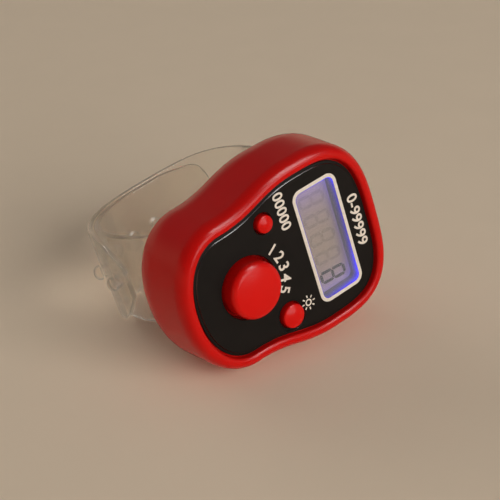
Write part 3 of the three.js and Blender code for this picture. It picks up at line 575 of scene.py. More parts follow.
def varied(tree, source, colour_a, colour_b):
    """A colour that runs between two, by noise."""
    ramp = add_node(tree, "ShaderNodeValToRGB", None, {"Fac": source})
    ramp.color_ramp.elements[0].color = (*colour_a, 1)
    ramp.color_ramp.elements[0].position = 0.3
    ramp.color_ramp.elements[1].color = (*colour_b, 1)
    ramp.color_ramp.elements[1].position = 0.7
    return ramp.outputs["Color"]


def raised(tree, shader, height, distance):
    """Gives a shader a bump of a real height in metres."""
    bump = add_node(tree, "ShaderNodeBump", {"Distance": distance}, {"Height": height})
    tree.links.new(bump.outputs["Normal"], shader.inputs["Normal"])


def tinted(tree, shader, where, grain, dark, light, detail=3.0):
    """Lets a shader's colour run between two in lumps of a grain size, in metres."""
    lumps = noise(tree, where, grain, detail)
    tree.links.new(varied(tree, lumps, dark, light), shader.inputs["Base Color"])


def glossed(tree, shader, source, low, high):
    """Lets a shader's roughness run between two values by noise."""
    tree.links.new(between(tree, source, low, high), shader.inputs["Roughness"])


def shaded(rgb, factor):
    """A colour made darker or lighter."""
    return tuple(min(1.0, c * factor) for c in rgb)


def moulded_abs(name, rgb, roughness=0.24):
    """ABS, injection moulded in a stoned mould: deep even colour, soft gloss, a faint ripple."""
    values = {"IOR": 1.54, "Specular IOR Level": 0.16}
    material, tree, shader, where = surface(name, values)
    ripple = noise(tree, where, 1.6 * MM, 2)
    fine = noise(tree, where, 0.35 * MM, 2)
    mix = {"operation": "MULTIPLY_ADD", 1: 0.15}
    height = add_node(tree, "ShaderNodeMath", mix, {0: fine, 2: ripple}).outputs[0]
    tinted(tree, shader, where, 5 * MM, shaded(rgb, 0.94), rgb)
    glossed(tree, shader, noise(tree, where, 2.2 * MM), roughness - 0.015, roughness + 0.02)
    raised(tree, shader, height, 0.0015 * MM)
    return material


def panel_film(rgb):
    """Black ABS panel with a satin spark-eroded face: a soft sheen broken by fine even grain."""
    values = {"IOR": 1.54, "Specular IOR Level": 0.11}
    material, tree, shader, where = surface("satin_black_panel", values)
    # The real grain is about 0.05 mm, and is drawn at 0.2 mm so that it shows
    grain = noise(tree, where, 0.2 * MM, 4, 0.6)
    tinted(tree, shader, where, 3 * MM, shaded(rgb, 0.85), shaded(rgb, 1.15))
    glossed(tree, shader, grain, 0.34, 0.5)
    raised(tree, shader, grain, 0.006 * MM)
    return material


def polished_edge(rgb):
    """The panel's trimmed edge, scraped smooth: a thin bright line where it faces the light."""
    values = {"IOR": 1.54, "Specular IOR Level": 0.8}
    material, tree, shader, where = surface("scraped_black_edge", values)
    tinted(tree, shader, where, 2 * MM, shaded(rgb, 0.9), rgb)
    glossed(tree, shader, noise(tree, where, 0.6 * MM), 0.16, 0.26)
    return material


def screen_ink(rgb):
    """Epoxy screen ink, printed: matt and nearly white, thinner in places."""
    material, tree, shader, where = surface("screen_printed_ink", {"IOR": 1.5, "Roughness": 0.55})
    tinted(tree, shader, where, 0.5 * MM, shaded(rgb, 0.86), rgb)
    raised(tree, shader, noise(tree, where, 0.15 * MM), 0.004 * MM)
    return material


def acrylic_with_painted_glow(rgb):
    """Acrylic light guide, moulded and cloudy, with the blue lamp's light painted on as glow, as
    strong as its points say, over a dark base colour that is painted shade.
    """
    material, tree, shader, where = surface("acrylic_with_painted_glow", {"IOR": 1.49, "Roughness": 0.3})
    glow = add_node(tree, "ShaderNodeAttribute", {"attribute_name": "glow"}).outputs["Fac"]
    cloudy = between(tree, noise(tree, where, 0.9 * MM), 0.85, 1.1)
    times = {"operation": "MULTIPLY"}
    strength = add_node(tree, "ShaderNodeMath", times, {0: glow, 1: cloudy}).outputs[0]
    # The dark base colour is painted shade on the recess walls where the glow is low
    shader.inputs["Base Color"].default_value = (*linear("#4A3F3C"), 1)
    shader.inputs["Emission Color"].default_value = (*rgb, 1)
    tree.links.new(strength, shader.inputs["Emission Strength"])
    return material


def polariser_film(rgb, glow_rgb):
    """Polariser film on display glass: grey and satin, with light spilling in from the edges."""
    values = {"IOR": 1.5, "Roughness": 0.32, "Specular IOR Level": 0.35}
    material, tree, shader, where = surface("polariser_film", values)
    glow = add_node(tree, "ShaderNodeAttribute", {"attribute_name": "glow"}).outputs["Fac"]
    tinted(tree, shader, where, 1.4 * MM, shaded(rgb, 0.95), rgb, 5)
    shader.inputs["Emission Color"].default_value = (*glow_rgb, 1)
    tree.links.new(glow, shader.inputs["Emission Strength"])
    raised(tree, shader, noise(tree, where, 0.2 * MM), 0.002 * MM)
    return material


def crystal_mark(name, code, alpha):
    """Liquid crystal between its sheets: a faint grey tint, darker where it is switched on."""
    material, tree, shader, where = surface(name, {"Roughness": 0.4, "Specular IOR Level": 0.2})
    rgb = linear(code)
    tinted(tree, shader, where, 0.3 * MM, shaded(rgb, 0.9), rgb)
    shader.inputs["Alpha"].default_value = alpha
    return material


def clear_acrylic():
    """Cast acrylic sheet: clear, with only a slight sheen and faint haze."""
    material, tree, shader, where = surface("clear_acrylic", {"IOR": 1.49, "Alpha": 0.07})
    shader.inputs["Base Color"].default_value = (1, 1, 1, 1)
    glossed(tree, shader, noise(tree, where, 1.2 * MM), 0.03, 0.08)
    return material


def clear_tpu(rgb):
    """TPU, injection moulded: clear and slightly milky, with bright edges and a faint ripple."""
    values = {"IOR": 1.38, "Transmission Weight": 1.0, "Roughness": 0.06, "Alpha": 0.7}
    material, tree, shader, where = surface("clear_moulded_tpu", values)
    tinted(tree, shader, where, 2.5 * MM, shaded(rgb, 0.97), rgb)
    raised(tree, shader, noise(tree, where, 1.5 * MM, 2), 0.01 * MM)
    return material


def plated_steel(name):
    """Steel, rolled and nickel plated: bright metal with fine directional scratches."""
    rgb = linear("#C9C8C4")
    material, tree, shader, where = surface(name, {"Metallic": 1.0})
    stretched = add_node(tree, "ShaderNodeMapping", {"Scale": (1, 1, 12)}, {"Vector": where})
    scratch = noise(tree, stretched.outputs[0], 0.8 * MM, 4)
    tree.links.new(varied(tree, scratch, shaded(rgb, 0.85), rgb), shader.inputs["Base Color"])
    glossed(tree, shader, scratch, 0.2, 0.36)
    raised(tree, shader, scratch, 0.002 * MM)
    return material


def hidden_finish(name, code, roughness, grain):
    """A plain moulded or coated finish for a piece inside the case."""
    material, tree, shader, where = surface(name, {"IOR": 1.5})
    rgb = linear(code)
    lumps = noise(tree, where, grain)
    tree.links.new(varied(tree, lumps, shaded(rgb, 0.85), rgb), shader.inputs["Base Color"])
    glossed(tree, shader, lumps, roughness - 0.06, roughness + 0.06)
    raised(tree, shader, lumps, 0.01 * MM)
    return material


class CounterOperator:
    """What the counter's operators share."""

    bl_options = {"REGISTER", "UNDO"}


def button_holes(buttons, case):
    """The middle, the radius and the gap of each button, in the order count, reset, lamp."""
    count_y = case.button_end + buttons.count_inset
    return (
        ((0, count_y), buttons.count_radius, buttons.count_gap),
        ((-buttons.side_x, buttons.side_y), buttons.reset_radius, buttons.gap),
        ((buttons.side_x, buttons.side_y), buttons.lamp_radius, buttons.gap),
    )


class COUNTER_OT_shell(CounterOperator, bpy.types.Operator):
    """Build the red shell: rim, side wall, rounded back edge and the deck under the panel"""

    bl_idname = "counter.shell"
    bl_label = "Shell"

    def execute(self, context):
        case, face, buttons = settings("case", "face", "buttons")
        red = moulded_abs("moulded_red_abs", case.colour)
        back = -case.depth
        deck_top = -face.thickness - case.seat
        deck_bottom = deck_top - case.deck
        flat = case.rim_width + case.back_flare - case.back_round
        recess = flat - case.back_lip
        floor = back + case.cover + case.seat
        inside = case.rim_width - case.wall
        curl = case.rim_round
        inner_curl = arc((curl, case.rim_height - curl), (curl, curl), 180, 90, CURL_STEPS)
        fall = (case.rim_width - case.rim_crest, case.rim_fall)
        crest = (case.rim_crest, case.rim_height - case.rim_fall)
        outer_curl = arc(crest, fall, 90, 0, RIM_STEPS)
        rim = np.vstack((inner_curl, outer_curl))
        turn = (case.back_round, case.back_fall)
        edge = arc((flat, back + case.back_fall), turn, 0, -90, BACK_STEPS)
        side = np.linspace(rim[-1], edge[0], WALL_STEPS)[1:-1]
        ledge_top = floor + case.ledge_height
        inner = (
            (recess, back),
            (recess, floor),
            (recess - case.ledge, floor),
            (recess - case.ledge, ledge_top),
            (inside, ledge_top + inside - recess + case.ledge),
            (inside, deck_bottom),
            (0, deck_bottom),
        )
        profile = np.vstack((rim, side, edge, inner))
        shell = new_mesh("shell", *ring_wall(*case_outline(case), profile))
        place(shell, red, "case_shell", nodes=("front_shell",))
        well = window_shape(face, case, face.frame_wall + case.seat)
        buttons_round = button_holes(buttons, case)
        holes = [circle(middle, radius + gap) for middle, radius, gap in buttons_round]
        loops = [moved_outline(case, inside / 2), well, *holes]
        deck = plate_mesh("deck", loops, deck_top, deck_bottom, 0.05 * MM)
        place(deck, red, "shell_deck", nodes=("front_shell",))
        return {"FINISHED"}


class COUNTER_OT_cover(CounterOperator, bpy.types.Operator):
    """Build the back cover with its two slots, and the four sunk screws"""

    bl_idname = "counter.cover"
    bl_label = "Back cover and screws"

    def execute(self, context):
        case, band = settings("case", "band")
        red = moulded_abs("moulded_red_abs_cover", shaded(case.colour, 0.96), 0.36)
        back, gap = -case.depth, case.seat
        recess = case.rim_width + case.back_flare - case.back_round - case.back_lip
        slot_size = (band.width + 2 * band.slot_gap, band.thickness + 2 * band.slot_gap)
        slots = [
            rounded_rectangle((0, y), slot_size, 0.3 * MM)
            for y in (case.button_end + band.lower_inset, case.display_end - band.upper_inset)
        ]
        screws = [middle_of_case(f"case_screw_{i}") for i in range(1, 5)]
        holes = [circle((p.x, p.y), SCREW_HEAD + gap, SCREW_SIDES) for p in screws]
        loops = [moved_outline(case, recess - gap), *slots, *holes]
        cover = plate_mesh("cover", loops, back + case.cover, back, 0.12 * MM)
        place(cover, red, "cover_plate", nodes=("back_cover",))
        steel = plated_steel("nickel_plated_screw")
        for i, (p, turn) in enumerate(zip(screws, SCREW_TURNS), 1):
            screw = self.screw((p.x, p.y), back + gap / 2, math.radians(turn))
            place(screw, steel, f"screw_{i}", nodes=(f"case_screw_{i}",))
        return {"FINISHED"}

    def screw(self, middle, face_z, turn):
        """A countersunk screw, looking backwards, with a cross slot."""
        edge = 0.12 * MM
        profile = [
            (0.1 * MM, face_z),
            (SCREW_HEAD - edge, face_z),
            (SCREW_HEAD, face_z + edge),
            (SCREW_SHANK, face_z + SCREW_SHANK),
            (SCREW_SHANK, face_z + SCREW_LENGTH - 0.1 * MM),
            (0.1 * MM, face_z + SCREW_LENGTH),
        ]
        screw = new_mesh("screw", *turned(profile, middle, SCREW_SIDES))
        arms = []
        for quarter in (0, math.pi / 2):
            bar = rounded_rectangle((0, 0), (1.8 * MM, 0.34 * MM), 0.1 * MM)
            c, s = math.cos(turn + quarter), math.sin(turn + quarter)
            bar = bar @ np.array(((c, s), (-s, c))) + middle
            arms.append(new_mesh("arm", *prism(bar, face_z + 0.4 * MM, face_z - 0.1 * MM)))
        return combined(screw, arms, "DIFFERENCE")


def middle_of_case(node):
    """The middle of a CAD node's points, in the case's axes."""
    points = np.array([v.co for v in frame["nodes"][node].data.vertices])
    return CASE.inverted() @ Vector((points.max(0) + points.min(0)) / 2)


class COUNTER_OT_panel(CounterOperator, bpy.types.Operator):
    """Build the black face panel, with its raised field and the ring round the lamp button"""

    bl_idname = "counter.panel"
    bl_label = "Face panel"

    def execute(self, context):
        case, face, buttons = settings("case", "face", "buttons")
        black = panel_film(face.panel_colour)
        places = button_holes(buttons, case)
        holes = [circle(middle, radius + gap) for middle, radius, gap in places[:2]]
        lamp, lamp_radius, _ = places[2]
        window = window_shape(face, case, case.seat)
        ring = circle(lamp, lamp_radius + buttons.ring_width)
        base = [moved_outline(case, -face.groove), window, *holes, ring]
        field = [moved_outline(case, -face.groove - face.margin), window, *holes, ring]
        low = plate_mesh("panel", base, -face.step, -face.thickness, 0.06 * MM)
        high = plate_mesh("field", field, 0, -face.step - 0.05 * MM, face.bevel, 0)
        place(low, black, "panel_margin", nodes=("face_panel",))
        piece = place(high, black, "panel_field", nodes=("face_panel",))
        piece.data.materials.append(polished_edge(face.panel_colour))
        # The faces of the bevel lean, and are the scraped edge
        outwards = CASE.to_3x3().col[2]
        for polygon in piece.data.polygons:
            polygon.material_index = int(0.3 < polygon.normal.dot(outwards) < 0.95)
        outside = circle(lamp, lamp_radius + buttons.ring_width - 0.01 * MM)
        sunk = [outside, circle(lamp, lamp_radius + buttons.gap)]
        ring_plate = plate_mesh("ring", sunk, -buttons.ring_depth, -face.thickness, 0.05 * MM)
        place(ring_plate, black, "lamp_ring", nodes=("face_panel",))
        return {"FINISHED"}


def figures(text, height, middle, angle, ink):
    """Plain figures printed on the panel, as a mesh in the case's axes."""
    curve = bpy.data.curves.new("figures", "FONT")
    curve.body, curve.align_x, curve.align_y = text, "CENTER", "CENTER"
    # Type is drawn a thousand times larger, the size that its points are spaced for
    curve.size, curve.extrude = height / MM / FIGURE_SHARE, ink / MM / 2
    curve.offset = FIGURE_WEIGHT / MM
    mesh = curve_mesh(curve, MM, (0, 0, ink / 2))
    mesh.transform(Matrix.Translation((*middle, 0)) @ Matrix.Rotation(math.radians(angle), 4, "Z"))
    return mesh


class COUNTER_OT_print(CounterOperator, bpy.types.Operator):
    """Print the line round the window, plain figures and a lamp sign on the panel"""

    bl_idname = "counter.print"
    bl_label = "Print"

    def execute(self, context):
        case, face, buttons = settings("case", "face", "buttons")
        ink = screen_ink(face.ink_colour)
        height = face.print_height
        loops = [window_shape(face, case, case.seat + wide) for wide in (face.line_width, 0)]
        line = plate_mesh("line", loops, height, -0.002 * MM, 0.004 * MM)
        place(line, ink, "window_line")
        for i, (text, size, middle, angle) in enumerate(MARKS):
            spot = (middle[0] * MM, middle[1] * MM)
            mesh = figures(text, size * MM, spot, angle, height)
            place(mesh, ink, f"figures_{i + 1}")
        count = Vector((0, case.button_end + buttons.count_inset))
        for i, figure in enumerate(ARC_FIGURES):
            angle = math.radians(ARC_START - i * ARC_STEP)
            spot = count + Vector((math.cos(angle), math.sin(angle))) * ARC_RADIUS
            mesh = figures(figure, ARC_HEIGHT, spot, math.degrees(angle) - 90, height)
            place(mesh, ink, f"count_figure_{i + 1}")
        sun = self.lamp_sign(height)
        place(sun, ink, "lamp_sign")
        return {"FINISHED"}

    def lamp_sign(self, height):
        """A ring with short rays: a plain sign for light."""
        outer, inner = SIGN_RING
        corners = ((outer, 0), (outer, height), (inner, height), (inner, 0))
        rings = [
            np.column_stack((circle(SIGN_MIDDLE, radius, SIGN_SIDES), np.full(SIGN_SIDES, z)))
            for radius, z in corners
        ]
        parts = [(np.vstack(rings), grid_faces(len(corners), SIGN_SIDES, True))]
        for i in range(8):
            angle = math.radians(i * 45)
            way = np.array((math.cos(angle), math.sin(angle)))
            side = np.array((-way[1], way[0])) * SIGN_HALF
            start, end = (np.array(SIGN_MIDDLE) + way * reach for reach in SIGN_RAYS)
            ray = np.array((start - side, end - side, end + side, start + side))
            parts.append(prism(ray, height, 0))
        return new_mesh("sign", *joined(parts))


def store_glow(mesh, glow):
    """Stores how bright a mesh glows at each of its points."""
    stored = mesh.attributes.new("glow", "FLOAT", "POINT")
    stored.data.foreach_set("value", glow.astype(np.float32))


class COUNTER_OT_display(CounterOperator, bpy.types.Operator):
    """Build the clear window, the glowing frame, the display sheet and its segments"""

    bl_idname = "counter.display"
    bl_label = "Display"

    def execute(self, context):
        case, face = settings("case", "face")
        deck_top = -face.thickness - case.seat
        deck_bottom = deck_top - case.deck
        glass_top = deck_bottom - case.seat
        outline = window_shape(face, case, -0.01 * MM)
        pane = plate_mesh("pane", [outline], 0, -face.thickness, 0.05 * MM)
        clear = clear_acrylic()
        place(pane, clear, "window_pane", nodes=("display_window",))
        self.light_frame(case, face, deck_top, deck_bottom)
        self.sheet(case, face, glass_top)
        self.segments(case, face, glass_top)
        return {"FINISHED"}

    def light_frame(self, case, face, top, bottom):
        """The guide round the recess: a thin lip by the window, a thicker wall under the panel,
        with the lamp's light and the recess's shade painted on its points as glow.
        """
        places = evenly(window_shape(face, case), 400)
        along = np.roll(places, -1, axis=0) - np.roll(places, 1, axis=0)
        along /= np.linalg.norm(along, axis=1)[:, None]
        outward = np.column_stack((along[:, 1], -along[:, 0]))
        lip = case.seat - 0.01 * MM
        heights = np.linspace(bottom, -0.02 * MM, 16)
        wall = face.frame_wall
        profile = [(0.0, z) for z in heights]
        profile += [(lip, heights[-1]), (lip, top), (wall, top), (wall, bottom)]
        points, faces = ring_wall(places, outward, profile)
        mesh = new_mesh("frame", points, faces)
        middle_y = case.display_end - face.window_inset
        far_x = points[:, 0] / (face.window_length / 2)
        far_y = (points[:, 1] - middle_y) / (face.window_height / 2)
        # Painted light: brightest at the window's two ends and on its upper side, and near the
        # face, fading to painted shade deeper in the recess
        corner = 0.75 * np.exp(-(((far_x + 0.98) / 0.16) ** 2))
        corner += np.exp(-(((far_x - 0.95) / 0.45) ** 2))
        beside = 0.3 + 0.7 * np.clip(corner, 0, 1) * np.clip(0.4 + 0.6 * far_y, 0, 1)
        rise = np.clip((points[:, 2] - bottom) / -bottom, 0, 1)
        glow = beside * (0.05 + 1.5 * rise**2.6)
        store_glow(mesh, glow)
        lit = acrylic_with_painted_glow(face.glow_colour)
        place(mesh, lit, "glow_frame", nodes=("light_frame",))

    def sheet(self, case, face, top):
        """The display glass under its film, with the light that spills over it on its points."""
        middle_y = case.display_end - face.window_inset
        columns, rows = 140, 70
        x = np.linspace(-face.glass_length / 2, face.glass_length / 2, columns)
        y = middle_y + np.linspace(-face.glass_height / 2, face.glass_height / 2, rows)
        flat = np.stack(np.meshgrid(x, y), axis=2).reshape(-1, 2)
        sides = [np.column_stack((flat, np.full(len(flat), z))) for z in (top, top - face.glass)]
        points = np.vstack(sides)
        count = rows * columns
        faces = []
        for row in range(rows - 1):
            for column in range(columns - 1):
                a = row * columns + column
                quad = (a, a + 1, a + columns + 1, a + columns)
                faces += [quad, tuple(i + count for i in quad[::-1])]
        border = (
            list(range(columns))
            + [row * columns + columns - 1 for row in range(1, rows)]
            + [(rows - 1) * columns + column for column in range(columns - 2, -1, -1)]
            + [row * columns for row in range(rows - 2, 0, -1)]
        )
        for a, b in zip(border, border[1:] + border[:1]):
            faces.append((b, a, a + count, b + count))
        mesh = new_mesh("sheet", points, faces)
        # The light that spills in from three sides fades with the distance from each
        right = (face.window_length / 2 - points[:, 0]) / MM
        left = (face.window_length / 2 + points[:, 0]) / MM
        upper = (middle_y + face.window_height / 2 - points[:, 1]) / MM
        spill = (
            0.36 * np.exp(-np.clip(left, 0, None) / 2.7)
            + 0.24 * np.exp(-np.clip(right, 0, None) / 1.9)
            + 0.14 * np.exp(-np.clip(upper, 0, None) / 0.5)
        )
        store_glow(mesh, spill)
        film = polariser_film(face.glass_colour, linear("#5246FF"))
        place(mesh, film, "display_sheet", nodes=("display_glass",))

    def segments(self, case, face, top):
        """The seven bars of each figure, faint where they are off and dark where they are on."""
        x, y = FIGURES_SHIFT
        y += case.display_end - face.window_inset
        off, on = [], []
        for i in range(FIGURES):
            middle = ((i - FIGURES // 2) * face.digit_pitch + x, y)
            (on if i == FIGURES - 1 else off).extend(self.figure_bars(middle, face))
        for bars, name, material in (
            (off, "idle_segments", crystal_mark("resting_liquid_crystal", "#3A3230", 0.06)),
            (on, "dark_segments", crystal_mark("switched_liquid_crystal", "#2C2633", 0.78)),
        ):
            parts = [prism(bar, top + 0.02 * MM, top + 0.004 * MM) for bar in bars]
            place(new_mesh(name, *joined(parts)), material, name)

    def figure_bars(self, middle, face):
        """The outlines of a figure's seven bars, leaning a little."""
        w, h, s = face.digit_width / 2, face.digit_height / 2, face.segment / 2
        gap = 0.05 * MM
        rows = [((-w + s, y), (w - s, y)) for y in (h - s, 0, s - h)]
        columns = [((x, a), (x, b)) for x in (s - w, w - s) for a, b in ((s - h, 0), (0, h - s))]
        bars = []
        for start, end in rows + columns:
            a, b = np.array(start), np.array(end)
            way = (b - a) / np.linalg.norm(b - a)
            side = np.array((-way[1], way[0])) * (s - gap)
            a, b = a + way * gap, b - way * gap
            tip = way * (s - gap)
            bar = np.array((a, a + tip - side, b - tip - side, b, b - tip + side, a + tip + side))
            bar[:, 0] += bar[:, 1] * FIGURE_LEAN
            bars.append(bar + middle)
        return bars


class COUNTER_OT_buttons(CounterOperator, bpy.types.Operator):
    """Build the domed count button and the two small buttons"""

    bl_idname = "counter.buttons"
    bl_label = "Buttons"

    def execute(self, context):
        case, face, buttons = settings("case", "face", "buttons")
        count, reset, lamp = button_holes(buttons, case)
        under = -face.thickness - 2 * case.seat - case.deck
        edge, rise = buttons.count_round, buttons.count_crown
        reach, height = count[1] - edge, buttons.count_height - rise
        shoulder = arc((reach, height - edge), (edge, edge), 0, 76, 16)
        top = np.vstack((shoulder, self.crown(reach, height, rise, 14)))
        red = moulded_abs("moulded_red_abs_buttons", buttons.colour)
        self.button(count, top, under, buttons, red, "count_cap", "count_key", "count_button")
        for spot, height, name, body, node in (
            (reset, buttons.reset_height, "reset_cap", "reset_key", "reset_button"),
            (lamp, buttons.lamp_height, "lamp_cap", "lamp_key", "lamp_button"),
        ):
            edge, reach = buttons.small_crown, spot[1] - buttons.small_crown
            shoulder = arc((reach, height - 2 * edge), (edge, edge), 0, 68, 10)
            top = np.vstack((shoulder, self.crown(reach, height - edge, edge, 10)))
            self.button(spot, top, under, buttons, red, name, body, node)
        return {"FINISHED"}

    def crown(self, radius, height, rise, steps):
        """A shallow dome from its edge nearly to the axis."""
        share = np.linspace(0, 1, steps + 1)[1:]
        radii = np.maximum(radius * (1 - share), 0.02 * MM)
        return np.column_stack((radii, height + rise * (1 - (1 - share) ** 2)))

    def button(self, spot, top, under, buttons, material, name, body, node):
        """One button: the flange that holds it in, its side and its top."""
        middle, radius, gap = spot
        wide = radius + gap + buttons.flange_hold
        foot = under - buttons.flange
        side = [(radius, z) for z in np.linspace(under, top[0][1], 6)[:-1]]
        skirt = [(0.5 * MM, foot), (wide, foot), (wide, under)]
        points, faces = turned(np.vstack((skirt, side, top)), middle)
        place(new_mesh(name, points, faces), material, name, body, (node,), sharp=40)


def loop_line(case, band):
    """The strap's loop in the case's middle plane: points and distances along it."""
    back = -case.depth
    lower, upper = case.button_end + band.lower_inset, case.display_end - band.upper_inset
    foot = back + case.cover + case.seat + band.foot / 2
    knots = [(lower, foot), (lower, back - band.straight)]
    knots += [(lower + a * MM, back - b * MM) for a, b in BUTTON_SIDE_LOOP]
    knots += [(upper + a * MM, back - b * MM) for a, b in DISPLAY_SIDE_LOOP]
    knots += [(upper, back - band.straight), (upper, foot)]
    knots = np.array(knots)
    padded = np.vstack((knots[:1], knots, knots[-1:]))
    t = np.linspace(0, 1, 160, endpoint=False)[:, None]
    pieces = []
    for p0, p1, p2, p3 in zip(padded, padded[1:], padded[2:], padded[3:]):
        v0, v1 = (p2 - p0) / 2, (p3 - p1) / 2
        cubic, square = 2 * p1 - 2 * p2 + v0 + v1, -3 * p1 + 3 * p2 - 2 * v0 - v1
        pieces.append(cubic * t**3 + square * t**2 + v0 * t + p1)
    line = np.vstack((*pieces, knots[-1:]))
    run = np.concatenate(([0], np.cumsum(np.linalg.norm(np.diff(line, axis=0), axis=1))))
    return line, run


def smooth(value, low, high):
    """Runs from 0 to 1 with level ends."""
    t = np.clip((value - low) / (high - low), 0, 1)
    return t * t * (3 - 2 * t)


class COUNTER_OT_band(CounterOperator, bpy.types.Operator):
    """Build the clear strap's two halves, one with pegs and one with holes"""

    bl_idname = "counter.band"
    bl_label = "Clear strap"

    def execute(self, context):
        case, band = settings("case", "band")
        self.band = band
        self.line, self.run = loop_line(case, band)
        clear = clear_tpu(band.colour)
        pegs = [band.first_peg + i * band.peg_pitch for i in range(band.pegs)]
        holes = pegs + [pegs[-1] + (i + 1) * band.peg_pitch for i in range(band.spare_holes)]

        inner = self.strip(0, band.tail_end, self.inner_depth, self.inner_width)
        neck = band.thickness * 1.5 + band.gap + band.peg_gap
        side = neck + band.peg_side
        head = arc((0, side), (band.peg_head_radius, band.peg_head), 0, 88, 12)
        thin, wide, ease = band.peg_radius, band.peg_head_radius, 0.1 * MM
        stem = [(thin, 0), (thin, neck - ease), (thin + ease, neck)]
        under = [(wide - ease, neck), (wide, neck + ease)]
        profile = np.vstack((stem, under, head))
        tools = [self.set_on_loop(profile, at, self.inner_depth(at)) for at in pegs]
        half = combined(inner, tools, "UNION")
        place(half, clear, "strap_peg_half", nodes=("band_peg_half",))

        outer = self.strip(band.outer_end, self.run[-1], self.outer_depth, self.outer_width)
        reach = band.thickness
        radius = band.peg_radius + band.peg_gap
        profile = [(radius, -reach), (radius, reach)]
        tools = [self.set_on_loop(profile, at, self.outer_depth(at)) for at in holes]
        half = combined(outer, tools, "DIFFERENCE")
        place(half, clear, "strap_hole_half", nodes=("band_hole_half",))
        return {"FINISHED"}

    def inner_depth(self, at):
        """How far the inner half lies inside the loop's line."""
        return self.band.tail_drop * smooth(at, self.band.peel, self.band.tail_level)

    def outer_depth(self, at):
        """How far the outer half lies inside the loop's line, negative where it lies outside."""
        end = self.run[-1] - self.band.back_length
        return (self.band.thickness + self.band.gap) * (smooth(at, self.band.peel, end) - 1)

    def inner_width(self, at):
        """The inner half's width, with its tail's corners rounded."""
        corner = self.band.tail_round
        short = np.clip((self.band.tail_end - at) / corner, 0, 1)
        return self.band.width - 2 * corner * (1 - np.sqrt(1 - (1 - short) ** 2))

    def outer_width(self, at):
        """The outer half's width, narrowing to its rounded end."""
        band = self.band
        share = np.clip((at - band.outer_end) / band.taper, 0, 1)
        return band.end_width + (band.width - band.end_width) * np.sin(share * math.pi / 2)

    def on_loop(self, at, depth):
        """The place at a distance along the loop and a depth inside it, and the way outwards."""

        def point(distance):
            return np.array([np.interp(distance, self.run, self.line[:, i]) for i in range(2)])

        step = 0.05 * MM
        way = point(min(at + step, self.run[-1])) - point(max(at - step, 0))
        way /= np.linalg.norm(way)
        out = np.array((way[1], -way[0]))
        return point(at) - out * depth, out

    def strip(self, start, end, depth_at, width_at):
        """One half of the strap as a closed mesh with rounded edges."""
        band = self.band
        bends = np.linspace(0, math.pi, STRIP_STEPS)
        rings = []
        for at in start + (end - start) * (1 - np.cos(bends)) / 2:
            spot, out = self.on_loop(at, depth_at(at))
            size = (float(width_at(at)), band.thickness)
            wide, deep = rounded_rectangle((0, 0), size, band.rounding).T
            rings.append(np.column_stack((wide, spot[0] + out[0] * deep, spot[1] + out[1] * deep)))
        return new_mesh("strip", *skin(rings))

    def set_on_loop(self, profile, at, depth):
        """A round mesh turned from a profile and set on the loop, looking out of it."""
        spot, out = self.on_loop(at, depth)
        mesh = new_mesh("round", *turned(profile, (0, 0), SCREW_SIDES))
        outwards = Vector((0, *out))
        turn = Vector((0, 0, 1)).rotation_difference(outwards).to_matrix().to_4x4()
        mesh.transform(Matrix.Translation((0, *spot)) @ turn)
        return mesh


class COUNTER_OT_inside(CounterOperator, bpy.types.Operator):
    """Give the pieces inside the case their finishes"""

    bl_idname = "counter.inside"
    bl_label = "Inner pieces"

    def execute(self, context):
        steel = plated_steel("nickel_plated_steel")
        black = hidden_finish("moulded_black_abs", "#22211F", 0.5, 0.4 * MM)
        white = hidden_finish("moulded_white_abs", "#E6E3DC", 0.42, 0.5 * MM)
        rubber = hidden_finish("moulded_silicone", "#8B8B88", 0.75, 0.3 * MM)
        board = hidden_finish("solder_mask_on_laminate", "#1D6B3A", 0.38, 0.6 * MM)
        epoxy = hidden_finish("cast_black_epoxy", "#131211", 0.3, 0.7 * MM)
        resin = hidden_finish("cast_lamp_resin", "#DFE6FF", 0.2, 0.5 * MM)
        finishes = {
            "display_diffuser": white,
            "connector_strip": rubber,
            "circuit_board": board,
            "chip_cap": epoxy,
            "resistor": epoxy,
            "capacitor": white,
            "blue_lamp": resin,
            "cell_tray": black,
        }
        finishes |= {f"{name}_switch": black for name in ("count", "reset", "lamp")}
        finishes |= {f"{name}_contact": steel for name in ("upper", "lower", "bridge")}
        finishes |= {f"{name}_cell": steel for name in ("upper", "lower")}
        finishes |= {f"board_screw_{i}": steel for i in (1, 2)}
        for name, material in finishes.items():
            mesh = frame["nodes"][name].data
            mesh.materials.clear()
            mesh.materials.append(material)
        return {"FINISHED"}


